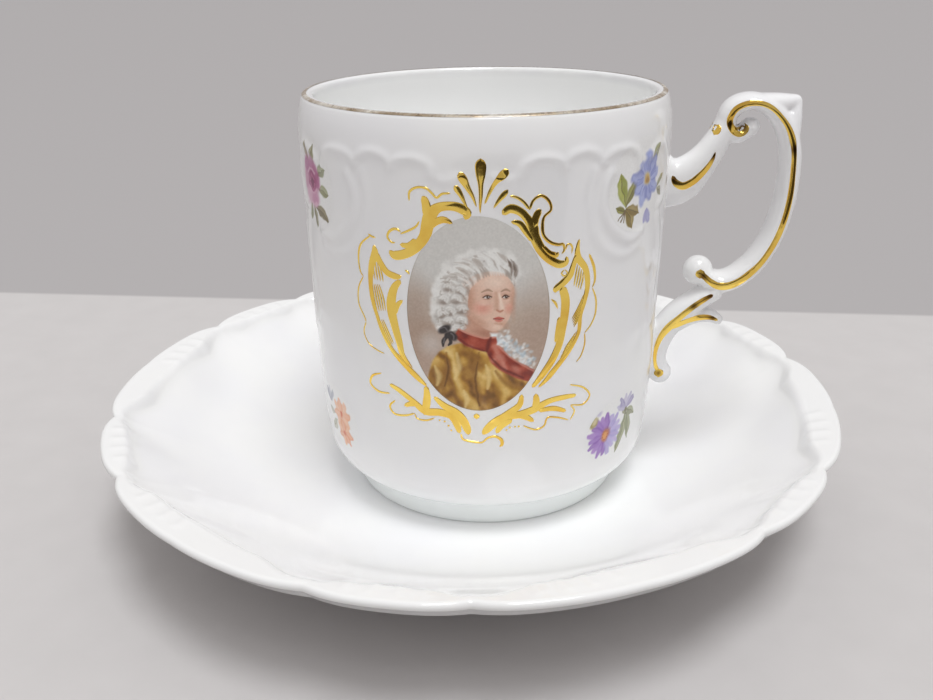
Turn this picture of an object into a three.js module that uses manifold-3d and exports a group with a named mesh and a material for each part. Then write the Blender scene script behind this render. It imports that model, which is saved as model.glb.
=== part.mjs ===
// A porcelain mocha cup with a scroll handle, standing on its lobed saucer.
// Millimetres, +Z up. The origin is the middle of the saucer's base, on the table.

import * as THREE from 'three';
import { mergeVertices } from 'three/addons/utils/BufferGeometryUtils.js';
import Module from 'manifold-3d';

const wasm = await Module();
wasm.setup();

// Saucer
const SAUCER_RADIUS = 65;
const SAUCER_HEIGHT = 20;
const SAUCER_WALL = 2.8;
const SAUCER_EDGE = 1.8;
const BOWL_CURVE = 1.7;
const WELL_FLOOR_HEIGHT = 5;
const WELL_CLEARANCE = 1.6;
const SAUCER_FOOT_RADIUS = 36;
const SAUCER_FOOT_WIDTH = 3.2;
const LOBE_COUNT = 18;
const LOBE_PHASE_DEG = 191.5;
const DEEP_NOTCH = 1.3;
const SHALLOW_NOTCH = 0.5;

// Cup body, heights above the underside of its foot
const CUP_HEIGHT = 68.4;
const RIM_RADIUS = 29.7;
const BAND_RADIUS = 30.6;
const BAND_DROP = 7.4;
const SHOULDER_RADIUS = 28.9;
const SHOULDER_HEIGHT = 9.5;
const BELLY_RADIUS = 29.8;
const BELLY_HEIGHT = 21;
const CUP_FOOT_RADIUS = 24.3;
const CUP_FOOT_HEIGHT = 4.3;
const CUP_FOOT_WIDTH = 2.4;
const CUP_FOOT_RECESS = 1.6;
const CUP_WALL = 2.2;
const CUP_FLOOR = 3.2;
const LIP_WIDTH = 1.4;
const LIP_ROUND = 0.5;
const CUP_SHIFT = 3;

// Handle
const HANDLE_AZIMUTH_DEG = -3;
const HANDLE_FOOT_HEIGHT = 15.8;
const HANDLE_TOP_DROP = 0.9;
const HANDLE_REACH = 21.4;
const HANDLE_BREADTH = 7.4;
const LUTING_GAP = 0.3;

// Decoration
const FRONT_AZIMUTH_DEG = -91.6;
const LAYER_THICKNESS = 0.12;
const LAYER_CLEARANCE = 0.08;
const CARTOUCHE_TOP_DROP = 5.4;
const CARTOUCHE_BOTTOM_RISE = 10;
const MEDALLION_WIDTH = 21.3;
const MEDALLION_HEIGHT = 30.6;
const SPRAY_TOP_DROP = 5.4;
const SPRAY_BOTTOM_RISE = 1.1;
const HANDLE_LINE_WIDTH = 0.9;
const RIM_LINE_WIDTH = 0.8;

// Facets
const SAUCER_STEPS_PER_LOBE = 6;
const CUP_STEPS = 72;
const SECTION_SIDES = 12;
const BALL_RINGS = 8;

const radians = THREE.MathUtils.degToRad;
const lerp = THREE.MathUtils.lerp;

const glaze = (color) => new THREE.MeshStandardMaterial({ color, roughness: 0.1, metalness: 0 });
const gilding = () => new THREE.MeshStandardMaterial({ color: 0xc9972f, roughness: 0.22, metalness: 1 });
const enamel = (color) => new THREE.MeshStandardMaterial({ color, roughness: 0.3, metalness: 0 });

function named(name, geometry, material) {
  const mesh = new THREE.Mesh(geometry, material);
  mesh.name = name;
  return mesh;
}

// A lathe profile of [radius, height] points, turned about +Z
function turned(points, steps) {
  const profile = points.map(([radius, height]) => new THREE.Vector2(radius, height));
  const geometry = new THREE.LatheGeometry(profile, steps);
  return geometry.rotateX(Math.PI / 2);
}

// A closed solid of a lower and an upper sheet of the same grid, [row][column] of Vector3
function slab(lower, upper) {
  const lastRow = lower.length - 1;
  const lastColumn = lower[0].length - 1;
  const points = [...lower.flat(), ...upper.flat()];
  const at = (sheet, row, column) => (sheet * (lastRow + 1) + row) * (lastColumn + 1) + column;
  const triangles = [];
  const quad = (a, b, c, d) => triangles.push(a, b, c, a, c, d);
  for (let column = 0; column < lastColumn; column += 1) {
    for (let row = 0; row < lastRow; row += 1) {
      quad(at(0, row, column), at(0, row + 1, column), at(0, row + 1, column + 1), at(0, row, column + 1));
      quad(at(1, row, column), at(1, row, column + 1), at(1, row + 1, column + 1), at(1, row + 1, column));
    }
    quad(at(0, 0, column), at(0, 0, column + 1), at(1, 0, column + 1), at(1, 0, column));
    const next = column + 1;
    quad(at(0, lastRow, next), at(0, lastRow, column), at(1, lastRow, column), at(1, lastRow, next));
  }
  for (let row = 0; row < lastRow; row += 1) {
    const next = row + 1;
    quad(at(0, next, 0), at(0, row, 0), at(1, row, 0), at(1, next, 0));
    quad(at(0, row, lastColumn), at(0, next, lastColumn), at(1, next, lastColumn), at(1, row, lastColumn));
  }
  const geometry = new THREE.BufferGeometry().setFromPoints(points);
  geometry.setIndex(triangles);
  return geometry;
}

// Solids for joining and cutting
function solid(geometry) {
  const bare = geometry.clone();
  bare.deleteAttribute('normal');
  bare.deleteAttribute('uv');
  const merged = mergeVertices(bare, 1e-5);
  return new wasm.Manifold(new wasm.Mesh({
    numProp: 3,
    vertProperties: new Float32Array(merged.attributes.position.array),
    triVerts: new Uint32Array(merged.index.array),
  }));
}

function geometryOf(manifold) {
  const mesh = manifold.getMesh();
  const geometry = new THREE.BufferGeometry();
  geometry.setAttribute('position', new THREE.BufferAttribute(new Float32Array(mesh.vertProperties), 3));
  geometry.setIndex([...mesh.triVerts]);
  return geometry;
}

// Saucer: the bowl's upper surface, its lobed edge and its foot ring.
// Shares run from the foot to the edge below, and from the edge to the well above.
const UNDERSIDE_SHARES = [0, 0.3, 0.6, 0.83, 0.95];
const UPPER_SHARES = [0.94, 0.8, 0.62, 0.42, 0.2, 0];
const EDGE_ROUNDING = [[0, 0.7], [0, 0.2], [0.4, 0]];
const NOTCH_FADE = 4;
const wellRadius = CUP_FOOT_RADIUS + CUP_SHIFT + WELL_CLEARANCE;
const bowlShare = (radius) => Math.max(0, (radius - wellRadius) / (SAUCER_RADIUS - wellRadius));
const bowlHeight = (radius) => (
  WELL_FLOOR_HEIGHT + (SAUCER_HEIGHT - WELL_FLOOR_HEIGHT) * bowlShare(radius) ** BOWL_CURVE
);

function saucerProfile() {
  const under = (radius) => bowlHeight(radius) - lerp(SAUCER_WALL, SAUCER_EDGE, bowlShare(radius));
  const innerFoot = SAUCER_FOOT_RADIUS - SAUCER_FOOT_WIDTH;
  const points = [[0, under(0)], [innerFoot, under(innerFoot)], [innerFoot, 0], [SAUCER_FOOT_RADIUS, 0]];
  UNDERSIDE_SHARES.forEach((share) => {
    const radius = lerp(SAUCER_FOOT_RADIUS, SAUCER_RADIUS, share);
    points.push([radius, under(radius)]);
  });
  EDGE_ROUNDING.forEach(([inward, down]) => {
    points.push([SAUCER_RADIUS - SAUCER_EDGE * inward, SAUCER_HEIGHT - SAUCER_EDGE * down]);
  });
  UPPER_SHARES.forEach((share) => {
    const radius = lerp(wellRadius, SAUCER_RADIUS, share);
    points.push([radius, bowlHeight(radius)]);
  });
  points.push([0, WELL_FLOOR_HEIGHT]);
  return points;
}

// Depth of the scalloped edge at an angle: two deep notches, then a shallow one
function notchDepth(angle) {
  const lobe = (angle - radians(LOBE_PHASE_DEG)) / (2 * Math.PI) * LOBE_COUNT;
  const nearest = Math.round(lobe);
  const turn = ((nearest % 3) + 3) % 3;
  const depth = turn === 2 ? SHALLOW_NOTCH : DEEP_NOTCH;
  return depth * (1 - Math.abs(Math.sin(Math.PI * lobe))) ** 2;
}

function saucerGeometry() {
  const geometry = turned(saucerProfile(), LOBE_COUNT * SAUCER_STEPS_PER_LOBE);
  geometry.rotateZ(radians(LOBE_PHASE_DEG));
  const position = geometry.attributes.position;
  const point = new THREE.Vector3();
  for (let index = 0; index < position.count; index += 1) {
    point.fromBufferAttribute(position, index);
    const radius = Math.hypot(point.x, point.y);
    if (radius > SAUCER_FOOT_RADIUS) {
      const share = (radius - SAUCER_FOOT_RADIUS) / (SAUCER_RADIUS - SAUCER_FOOT_RADIUS);
      const drawn = 1 - notchDepth(Math.atan2(point.y, point.x)) * share ** NOTCH_FADE / radius;
      position.setXY(index, point.x * drawn, point.y * drawn);
    }
  }
  return geometry;
}

// Cup body: outside from the foot to the lip, then the inside down to its floor
const SHOULDER_SHARES = [0.35, 0.65, 0.87];
const BAND_TURN = { radius: 0.25, height: 0.55 };
const bandHeight = CUP_HEIGHT - BAND_DROP;
const outside = [
  [CUP_FOOT_RADIUS, 0],
  [CUP_FOOT_RADIUS, CUP_FOOT_HEIGHT],
  ...SHOULDER_SHARES.map((share) => [
    lerp(CUP_FOOT_RADIUS, SHOULDER_RADIUS, Math.sin(share * Math.PI / 2)),
    lerp(SHOULDER_HEIGHT, CUP_FOOT_HEIGHT, Math.cos(share * Math.PI / 2)),
  ]),
  [SHOULDER_RADIUS, SHOULDER_HEIGHT],
  [BELLY_RADIUS, BELLY_HEIGHT],
  [BAND_RADIUS, bandHeight],
  [lerp(BAND_RADIUS, RIM_RADIUS, BAND_TURN.radius), lerp(bandHeight, CUP_HEIGHT, BAND_TURN.height)],
  [RIM_RADIUS, CUP_HEIGHT - LIP_ROUND],
];

function wallRadius(height) {
  for (let index = 1; index < outside.length; index += 1) {
    const [lowRadius, low] = outside[index - 1];
    const [highRadius, high] = outside[index];
    if (height <= high) {
      return lerp(lowRadius, highRadius, (height - low) / (high - low));
    }
  }
  return RIM_RADIUS;
}

const LIP_INSET = 0.6 * LIP_ROUND;
const lipOuter = RIM_RADIUS - LIP_INSET;
const lipInner = lipOuter - LIP_WIDTH;

const FLOOR_TURN = 0.3;

function cupGeometry() {
  const floor = CUP_FOOT_RECESS + CUP_FLOOR;
  const footInner = CUP_FOOT_RADIUS - CUP_FOOT_WIDTH;
  const bowlRadius = SHOULDER_RADIUS - CUP_WALL;
  const bowlRise = SHOULDER_HEIGHT - CUP_FOOT_HEIGHT;
  return turned([
    [0, CUP_FOOT_RECESS],
    [footInner, CUP_FOOT_RECESS],
    [footInner, 0],
    ...outside,
    [lipOuter, CUP_HEIGHT],
    [lipInner, CUP_HEIGHT],
    [lipInner - LIP_INSET, CUP_HEIGHT - 2 * LIP_ROUND],
    [BAND_RADIUS - CUP_WALL, bandHeight],
    [BELLY_RADIUS - CUP_WALL, BELLY_HEIGHT],
    [bowlRadius, floor + bowlRise],
    [bowlRadius - bowlRise * FLOOR_TURN, floor + bowlRise * FLOOR_TURN],
    [bowlRadius - bowlRise, floor],
    [0, floor],
  ], CUP_STEPS);
}

function rimGildingGeometry() {
  const middle = (lipOuter + lipInner) / 2;
  const inner = middle - RIM_LINE_WIDTH / 2;
  const outer = middle + RIM_LINE_WIDTH / 2;
  const low = CUP_HEIGHT;
  const high = CUP_HEIGHT + LAYER_THICKNESS;
  return turned([[inner, low], [outer, low], [outer, high], [inner, high], [inner, low]], CUP_STEPS);
}

// Handle strokes in its own plane, drawn 21.4 by 52 mm:
// [out from the wall, up, half width, share of the breadth]
const HANDLE_DRAWN_REACH = 21.4;
const HANDLE_DRAWN_RISE = 52;
const HANDLE_STROKES = {
  arm: [
    [-2.1, 37.5, 5, 0.8], [2.1, 37.6, 4, 0.8], [5.3, 40.4, 2.7, 0.82], [7.8, 44.4, 2, 0.86],
    [9, 48, 1.5, 0.8],
  ],
  sweep: [
    [12.6, 46.6, 1.2, 0.66], [11.2, 45.2, 1.3, 0.7], [9.5, 45.6, 1.4, 0.76], [8.8, 47.6, 1.5, 0.82],
    [9.7, 49.6, 1.5, 0.88], [12.2, 50.6, 1.4, 0.94], [15.2, 49.8, 1.5, 1], [17.8, 47.2, 1.6, 1],
    [19.4, 43.4, 1.65, 1], [19.9, 38, 1.65, 1], [19.5, 32.4, 1.65, 1], [17.9, 26.7, 1.7, 0.96],
    [14.8, 22, 1.8, 0.9], [11.3, 19.9, 1.8, 0.84], [8.7, 20.4, 1.7, 0.78], [7.2, 21.8, 1.8, 0.7],
  ],
  thumb: [[14, 50.3, 1.5, 0.86], [17.4, 50.4, 1.4, 0.7], [20, 51, 0.6, 0.36]],
  thumb_back: [[19.2, 44.6, 1.5, 0.86], [19.2, 48, 1.5, 0.7], [19.8, 50.9, 0.7, 0.36]],
  root: [
    [10.4, 18.6, 1.6, 0.8], [7, 16.2, 1.9, 0.8], [3.8, 13.2, 2.2, 0.78], [1.5, 9.6, 2.2, 0.74],
    [0.8, 5.6, 2, 0.7], [1.6, 2.4, 1.9, 0.62],
  ],
  spur: [[3.4, 11.6, 1.6, 0.62], [6.9, 13.3, 1.3, 0.56], [9.6, 13.4, 1.2, 0.48], [11.7, 12.4, 0.8, 0.34]],
};
const TIP_SHARE = 0.6;
const STROKE_STEPS = { arm: 8, sweep: 32, thumb: 4, thumb_back: 4, root: 11, spur: 6 };
// Round scroll ends: [out, up, radius, share of the breadth]
const HANDLE_BALLS = [[12.8, 46.5, 1.5, 0.72], [6.8, 21.8, 2.6, 0.7], [1.9, 2.3, 2.1, 0.64]];
const ARM_RISE = HANDLE_STROKES.arm[0][1];
const ROOT_RISE = HANDLE_STROKES.root[4][1];

const handleTop = CUP_HEIGHT - HANDLE_TOP_DROP;
const handleUp = (up) => HANDLE_FOOT_HEIGHT + up * (handleTop - HANDLE_FOOT_HEIGHT) / HANDLE_DRAWN_RISE;

// A drawn point in the handle's plane; the drawing leans with the wall between its two roots
function handlePoint(out, up) {
  const lean = (up - ROOT_RISE) / (ARM_RISE - ROOT_RISE);
  const wall = lerp(wallRadius(handleUp(ROOT_RISE)), wallRadius(handleUp(ARM_RISE)), lean);
  return new THREE.Vector3(wall + out * HANDLE_REACH / HANDLE_DRAWN_REACH, 0, handleUp(up));
}

const sideways = (along) => new THREE.Vector3(along.z, 0, -along.x);
const smoothPath = (points) => new THREE.CatmullRomCurve3(points, false, 'centripetal');

// Stations along a stroke: the middle line, its sideways direction and both half sizes
function strokeStations(points, steps) {
  const path = smoothPath(points.map(([out, up]) => handlePoint(out, up)));
  const sizes = smoothPath(points.map(([, , width, share]) => (
    new THREE.Vector3(width, share * HANDLE_BREADTH / 2, 0)
  )));
  return Array.from({ length: steps + 1 }, (_, index) => {
    const share = index / steps;
    const along = path.getTangent(share);
    const size = sizes.getPoint(share);
    return {
      middle: path.getPoint(share),
      along,
      across: sideways(along),
      halfWidth: size.x,
      halfBreadth: size.y,
      pitch: path.getLength() / steps,
    };
  });
}

// A stroke as a rounded bar: oval rings along its stations, closed by a point at each end
function strokeGeometry(stations) {
  const rings = stations.map(({ middle, across, halfWidth, halfBreadth }) => (
    Array.from({ length: SECTION_SIDES }, (_, side) => {
      const angle = side / SECTION_SIDES * 2 * Math.PI;
      return middle.clone()
        .addScaledVector(across, halfWidth * Math.cos(angle))
        .add(new THREE.Vector3(0, halfBreadth * Math.sin(angle), 0));
    })
  ));
  const first = stations[0];
  const last = stations[stations.length - 1];
  const points = [
    ...rings.flat(),
    first.middle.clone().addScaledVector(first.along, -first.halfWidth * TIP_SHARE),
    last.middle.clone().addScaledVector(last.along, last.halfWidth * TIP_SHARE),
  ];
  const tail = points.length - 2;
  const tip = points.length - 1;
  const lastRing = (rings.length - 1) * SECTION_SIDES;
  const triangles = [];
  for (let side = 0; side < SECTION_SIDES; side += 1) {
    const next = (side + 1) % SECTION_SIDES;
    for (let ring = 0; ring < lastRing; ring += SECTION_SIDES) {
      const above = ring + SECTION_SIDES;
      triangles.push(ring + side, ring + next, above + next, ring + side, above + next, above + side);
    }
    triangles.push(tail, next, side, tip, lastRing + side, lastRing + next);
  }
  const geometry = new THREE.BufferGeometry().setFromPoints(points);
  geometry.setIndex(triangles);
  return geometry;
}

const handleStations = Object.fromEntries(Object.entries(HANDLE_STROKES).map(([name, points]) => (
  [name, strokeStations(points, STROKE_STEPS[name])]
)));

// The cup's outside grown by the luting gap, which trims the handle's two roots
function lutingGeometry() {
  const grown = outside.map(([radius, height]) => [radius + LUTING_GAP, height]);
  return turned([[0, 0], ...grown, [0, CUP_HEIGHT - LIP_ROUND]], CUP_STEPS);
}

function ballGeometry([out, up, radius, share]) {
  const ball = new THREE.SphereGeometry(1, SECTION_SIDES, BALL_RINGS);
  ball.scale(radius, share * HANDLE_BREADTH / 2, radius);
  return ball.translate(...handlePoint(out, up));
}

function handleGeometry() {
  const strokes = Object.values(handleStations).map(strokeGeometry);
  const joined = [...strokes, ...HANDLE_BALLS.map(ballGeometry)]
    .map(solid)
    .reduce((whole, piece) => whole.add(piece));
  return geometryOf(joined.subtract(solid(lutingGeometry())));
}

// How far the handle stands out of its middle plane at a point of that plane
function handleFace(point) {
  let face = 0;
  Object.values(handleStations).flat().forEach((station) => {
    const offset = point.clone().sub(station.middle);
    const aside = Math.abs(offset.dot(station.across)) / station.halfWidth;
    if (Math.abs(offset.dot(station.along)) < station.pitch && aside < 1) {
      face = Math.max(face, station.halfBreadth * Math.sqrt(1 - aside ** 2));
    }
  });
  HANDLE_BALLS.forEach(([out, up, radius, share]) => {
    const away = point.clone().setY(0).distanceTo(handlePoint(out, up)) / radius;
    face = Math.max(face, share * HANDLE_BREADTH / 2 * Math.sqrt(Math.max(0, 1 - away ** 2)));
  });
  return face;
}

// A gilt line through drawn points, lying on the handle's front (-1) or back (+1) face
const LINE_TAPER = 0.12;

function handleLineGeometry(points, steps, side) {
  const path = smoothPath(points.map(([out, up]) => handlePoint(out, up)));
  const sheet = (lift) => Array.from({ length: steps + 1 }, (_, index) => {
    const share = index / steps;
    const middle = path.getPoint(share);
    const across = sideways(path.getTangent(share));
    const taper = Math.sin(Math.PI * lerp(LINE_TAPER, 1 - LINE_TAPER, share));
    return [side, 0, -side].map((edge) => {
      const point = middle.clone().addScaledVector(across, edge * HANDLE_LINE_WIDTH / 2 * taper);
      return point.setY(side * (handleFace(point) + lift));
    });
  });
  return slab(sheet(LAYER_CLEARANCE), sheet(LAYER_CLEARANCE + LAYER_THICKNESS));
}

const HANDLE_LINES = {
  arm: { points: [[0.9, 38.4], [2.1, 37.4], [4, 37.9], [5.7, 39.9], [7, 42.6]], steps: 7 },
  sweep: { points: HANDLE_STROKES.sweep.slice(1, -1), steps: 32 },
  root: { points: [[9.2, 17.8], ...HANDLE_STROKES.root.slice(1, -1)], steps: 10 },
  spur: { points: HANDLE_STROKES.spur.slice(1), steps: 5 },
};

// Wall decoration: arc to the right of the front, height above the foot, lift off the glaze
const wallArcRadius = BELLY_RADIUS;

function onWall(arc, height, lift) {
  const angle = radians(FRONT_AZIMUTH_DEG) + arc / wallArcRadius;
  const radius = wallRadius(height) + lift;
  return new THREE.Vector3(radius * Math.cos(angle), radius * Math.sin(angle), height);
}

// A brushed stroke bent round the wall, [arc, height, width] points
function wallStrokeGeometry(points, steps) {
  const path = smoothPath(points.map(([arc, height, width]) => new THREE.Vector3(arc, height, width)));
  const sheet = (lift) => Array.from({ length: steps + 1 }, (_, index) => {
    const share = index / steps;
    const middle = path.getPoint(share);
    const along = path.getTangent(share).setZ(0).normalize();
    return [-1, 1].map((edge) => onWall(
      middle.x + edge * along.y * middle.z / 2,
      middle.y - edge * along.x * middle.z / 2,
      lift,
    ));
  });
  return slab(sheet(LAYER_CLEARANCE), sheet(LAYER_CLEARANCE + LAYER_THICKNESS));
}

// An oval patch with a scalloped outline, as rings of points round its middle
function wallPatchGeometry({ arc, height, halfWidth, halfHeight, petals, petalDepth, rings, spokes }) {
  const outline = (angle) => 1 + petalDepth * (Math.cos(petals * angle) - 1) / 2;
  const sheet = (lift) => {
    const points = [onWall(arc, height, lift)];
    for (let ring = 1; ring <= rings; ring += 1) {
      for (let spoke = 0; spoke < spokes; spoke += 1) {
        const angle = spoke / spokes * 2 * Math.PI;
        const reach = outline(angle) * ring / rings;
        const across = arc + halfWidth * reach * Math.cos(angle);
        points.push(onWall(across, height + halfHeight * reach * Math.sin(angle), lift));
      }
    }
    return points;
  };
  const lower = sheet(LAYER_CLEARANCE);
  const upper = sheet(LAYER_CLEARANCE + LAYER_THICKNESS);
  const top = lower.length;
  const triangles = [];
  const at = (ring, spoke) => 1 + (ring - 1) * spokes + (spoke % spokes);
  for (let spoke = 0; spoke < spokes; spoke += 1) {
    triangles.push(0, at(1, spoke + 1), at(1, spoke), top, top + at(1, spoke), top + at(1, spoke + 1));
    for (let ring = 1; ring < rings; ring += 1) {
      const [a, b] = [at(ring, spoke), at(ring, spoke + 1)];
      const [c, d] = [at(ring + 1, spoke + 1), at(ring + 1, spoke)];
      triangles.push(a, b, c, a, c, d, top + a, top + c, top + b, top + a, top + d, top + c);
    }
    const [e, f] = [at(rings, spoke), at(rings, spoke + 1)];
    triangles.push(e, f, top + f, e, top + f, top + e);
  }
  const geometry = new THREE.BufferGeometry().setFromPoints([...lower, ...upper]);
  geometry.setIndex(triangles);
  return geometry;
}

// The gilt cartouche and the oval in it, drawn 43.4 mm high and fitted between shoulder and lip
const CARTOUCHE_DRAWN_HEIGHT = 43.4;
const CARTOUCHE_DRAWN_LOW = -19.9;
const cartoucheLow = SHOULDER_HEIGHT + CARTOUCHE_BOTTOM_RISE;
const cartoucheScale = (CUP_HEIGHT - CARTOUCHE_TOP_DROP - cartoucheLow) / CARTOUCHE_DRAWN_HEIGHT;
const cartoucheMiddle = cartoucheLow - CARTOUCHE_DRAWN_LOW * cartoucheScale;
const CARTOUCHE_STROKES = {
  upper_scroll: [
    [2.6, 15.4, 0.6], [5, 16.4, 1.7], [7.6, 15.2, 1.9], [9.2, 11.6, 1.7], [11.4, 9.2, 1.5],
    [13.8, 8.4, 0.7],
  ],
  side_leaf: [[16.2, 8.4, 0.6], [17.6, 3.8, 1.5], [16.8, -1.6, 1.7], [14, -7, 1.6], [9.6, -11.6, 0.8]],
  lower_branch: [
    [14.6, -14.4, 0.7], [10.4, -15.4, 1.5], [6.6, -16.6, 1.7], [3.8, -17.6, 1.6], [1.8, -19.6, 0.8],
  ],
};
const RAY_ANGLES_DEG = [-40, -20, 0, 20, 40];
const RAY_LENGTHS = [3.6, 5.4, 6.5, 5.4, 3.6];
const RAY_START = 3.1;
const RAY_CENTRE_RISE = 13.9;
const RAY_WIDTH = 1;
const RAY_SHAPE = [[0, 0.3], [0.5, 0.6], [0.85, 1], [1, 0.7]];
const RAY_STEPS = 5;
const CARTOUCHE_STEPS = 14;

const fitted = (points) => points.map(([arc, height, width]) => [
  arc * cartoucheScale, cartoucheMiddle + height * cartoucheScale, width * cartoucheScale,
]);

function rayPoints(angleDegrees, length) {
  const angle = radians(angleDegrees);
  return RAY_SHAPE.map(([share, width]) => {
    const reach = RAY_START + length * share;
    return [reach * Math.sin(angle), RAY_CENTRE_RISE + reach * Math.cos(angle), width * RAY_WIDTH];
  });
}

function medallionGeometry() {
  return wallPatchGeometry({
    arc: 0,
    height: cartoucheMiddle,
    halfWidth: MEDALLION_WIDTH / 2 * cartoucheScale,
    halfHeight: MEDALLION_HEIGHT / 2 * cartoucheScale,
    petals: 1,
    petalDepth: 0,
    rings: 6,
    spokes: 32,
  });
}

// Flower sprays: azimuth from the front, size and colour.
// The upper ones hang from the lip and the lower ones stand on the shoulder.
const SPRAYS = [
  { name: 'flower_spray_rose', azimuthDeg: -58.6, width: 11, height: 14, upper: true, colour: 0xb05a8c },
  { name: 'flower_spray_blue', azimuthDeg: 53, width: 14, height: 13, upper: true, colour: 0x7f8fd0 },
  { name: 'flower_spray_orange', azimuthDeg: -56, width: 12, height: 11, upper: false, colour: 0xe08a5e },
  { name: 'flower_spray_aster', azimuthDeg: 50, width: 13, height: 11, upper: false, colour: 0x8a6bb8 },
];

function sprayGeometry({ azimuthDeg, width, height, upper }) {
  const middle = upper
    ? CUP_HEIGHT - SPRAY_TOP_DROP - height / 2
    : SHOULDER_HEIGHT + SPRAY_BOTTOM_RISE + height / 2;
  return wallPatchGeometry({
    arc: radians(azimuthDeg) * wallArcRadius,
    height: middle,
    halfWidth: width / 2,
    halfHeight: height / 2,
    petals: 5,
    petalDepth: 0.3,
    rings: 3,
    spokes: 20,
  });
}

// The set: the saucer stays, the cup with its handle and decoration lifts off
const saucer = named('saucer', saucerGeometry(), glaze(0xf3f3f1));

const cup = new THREE.Group();
cup.position.set(CUP_SHIFT, 0, WELL_FLOOR_HEIGHT);
cup.add(named('cup_body', cupGeometry(), glaze(0xf0f1ef)));
cup.add(named('rim_gilding', rimGildingGeometry(), gilding()));
cup.add(named('portrait_medallion', medallionGeometry(), enamel(0xb9a79a)));

RAY_ANGLES_DEG.forEach((angle, index) => {
  const points = fitted(rayPoints(angle, RAY_LENGTHS[index]));
  cup.add(named(`cartouche_ray_${index + 1}`, wallStrokeGeometry(points, RAY_STEPS), gilding()));
});

Object.entries(CARTOUCHE_STROKES).forEach(([name, points]) => {
  const right = fitted(points);
  const left = right.map(([arc, height, width]) => [-arc, height, width]).reverse();
  cup.add(named(`cartouche_${name}_right`, wallStrokeGeometry(right, CARTOUCHE_STEPS), gilding()));
  cup.add(named(`cartouche_${name}_left`, wallStrokeGeometry(left, CARTOUCHE_STEPS), gilding()));
});

SPRAYS.forEach((spray) => {
  cup.add(named(spray.name, sprayGeometry(spray), enamel(spray.colour)));
});

const handleGroup = new THREE.Group();
handleGroup.rotation.z = radians(HANDLE_AZIMUTH_DEG);
handleGroup.add(named('handle', handleGeometry(), glaze(0xf2f2f0)));
Object.entries(HANDLE_LINES).forEach(([name, { points, steps }]) => {
  handleGroup.add(named(`handle_line_${name}_front`, handleLineGeometry(points, steps, -1), gilding()));
  handleGroup.add(named(`handle_line_${name}_back`, handleLineGeometry(points, steps, 1), gilding()));
});
cup.add(handleGroup);

const set = new THREE.Group();
set.add(saucer, cup);

export default set;
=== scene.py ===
"""A porcelain mocha cup with a scroll handle, gilded and painted, on its lobed saucer.

Shapes are worked out in millimetres and placed in the frame's metres.
"""

import math

import bpy
import numpy as np
from mathutils import Matrix, Vector
from mathutils.bvhtree import BVHTree


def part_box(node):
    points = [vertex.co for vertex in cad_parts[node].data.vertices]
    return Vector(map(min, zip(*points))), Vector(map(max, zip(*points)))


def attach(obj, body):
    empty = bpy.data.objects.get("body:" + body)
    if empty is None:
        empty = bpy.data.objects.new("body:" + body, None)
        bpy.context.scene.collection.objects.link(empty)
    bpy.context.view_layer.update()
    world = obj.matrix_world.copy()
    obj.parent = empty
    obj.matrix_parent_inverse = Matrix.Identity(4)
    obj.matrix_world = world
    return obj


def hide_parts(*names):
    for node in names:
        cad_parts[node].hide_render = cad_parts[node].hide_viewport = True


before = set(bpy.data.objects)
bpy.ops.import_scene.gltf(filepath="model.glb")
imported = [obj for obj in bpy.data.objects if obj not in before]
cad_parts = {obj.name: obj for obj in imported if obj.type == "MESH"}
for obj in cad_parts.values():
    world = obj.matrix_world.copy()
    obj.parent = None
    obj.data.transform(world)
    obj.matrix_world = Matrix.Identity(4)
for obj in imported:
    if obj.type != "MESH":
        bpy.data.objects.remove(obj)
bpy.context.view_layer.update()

MM = 0.001

# Camera: 36 mm film across the picture's width
PICTURE_WIDTH = 933
FOCAL_PIXELS = 940
FILM_WIDTH = 36
CAMERA_PLACE = (4.58, -158.66, 93.73)
CAMERA_YAW = 0.032
CAMERA_PITCH = 0.4003
CAMERA_ROLL = -0.0142

# Stage: the table ends behind the set in a line, and a darker ground goes on from there
FLOOR_REACH = 20000
TABLE_EDGE_LEFT = (-146, 108)
TABLE_EDGE_RIGHT = (125, 86)

# Cup, heights above its foot
CUP_LOW, CUP_HIGH = (np.array(corner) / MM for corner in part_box("cup_body"))
CUP_AXIS = (CUP_LOW + CUP_HIGH) / 2
FRONT_AZIMUTH = math.radians(-91.6)
ARC_RADIUS = 29.8
CUP_COLUMNS = 480

# Saucer
SAUCER_RADIUS = 65
SAUCER_HEIGHT = 20
CREST_RADIUS = 62.2
WELL_RADIUS = 28.9
WELL_HEIGHT = 5
BOWL_CURVE = 1.7
SAUCER_FOOT_RADIUS = 36
SAUCER_COLUMNS = 828
LOBE_COUNT = 18
LOBE_PHASE = math.radians(191.5)
DEEP_NOTCH = 1.3
SHALLOW_NOTCH = 0.15
NOTCH_SINK = 0.35
NOTCH_SINK_CURVE, NOTCH_CUT_CURVE = 6, 4

# Handle
HANDLE_AZIMUTH = math.radians(-3)
HANDLE_FOOT = 15.8
HANDLE_SCALE = 51.7 / 52
HANDLE_BREADTH = 7.4
HANDLE_VOXEL = 0.28
HANDLE_SMOOTHING = 9


# Curves and noise

NOISE_CELLS = 64
RIDGE_REACH = 3  # widths from a ridge's line at which it has died away


def lerp(a, b, share):
    return a + (b - a) * share


def smoothstep(start, end, value):
    share = np.clip((value - start) / (end - start), 0, 1)
    return share * share * (3 - 2 * share)


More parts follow.
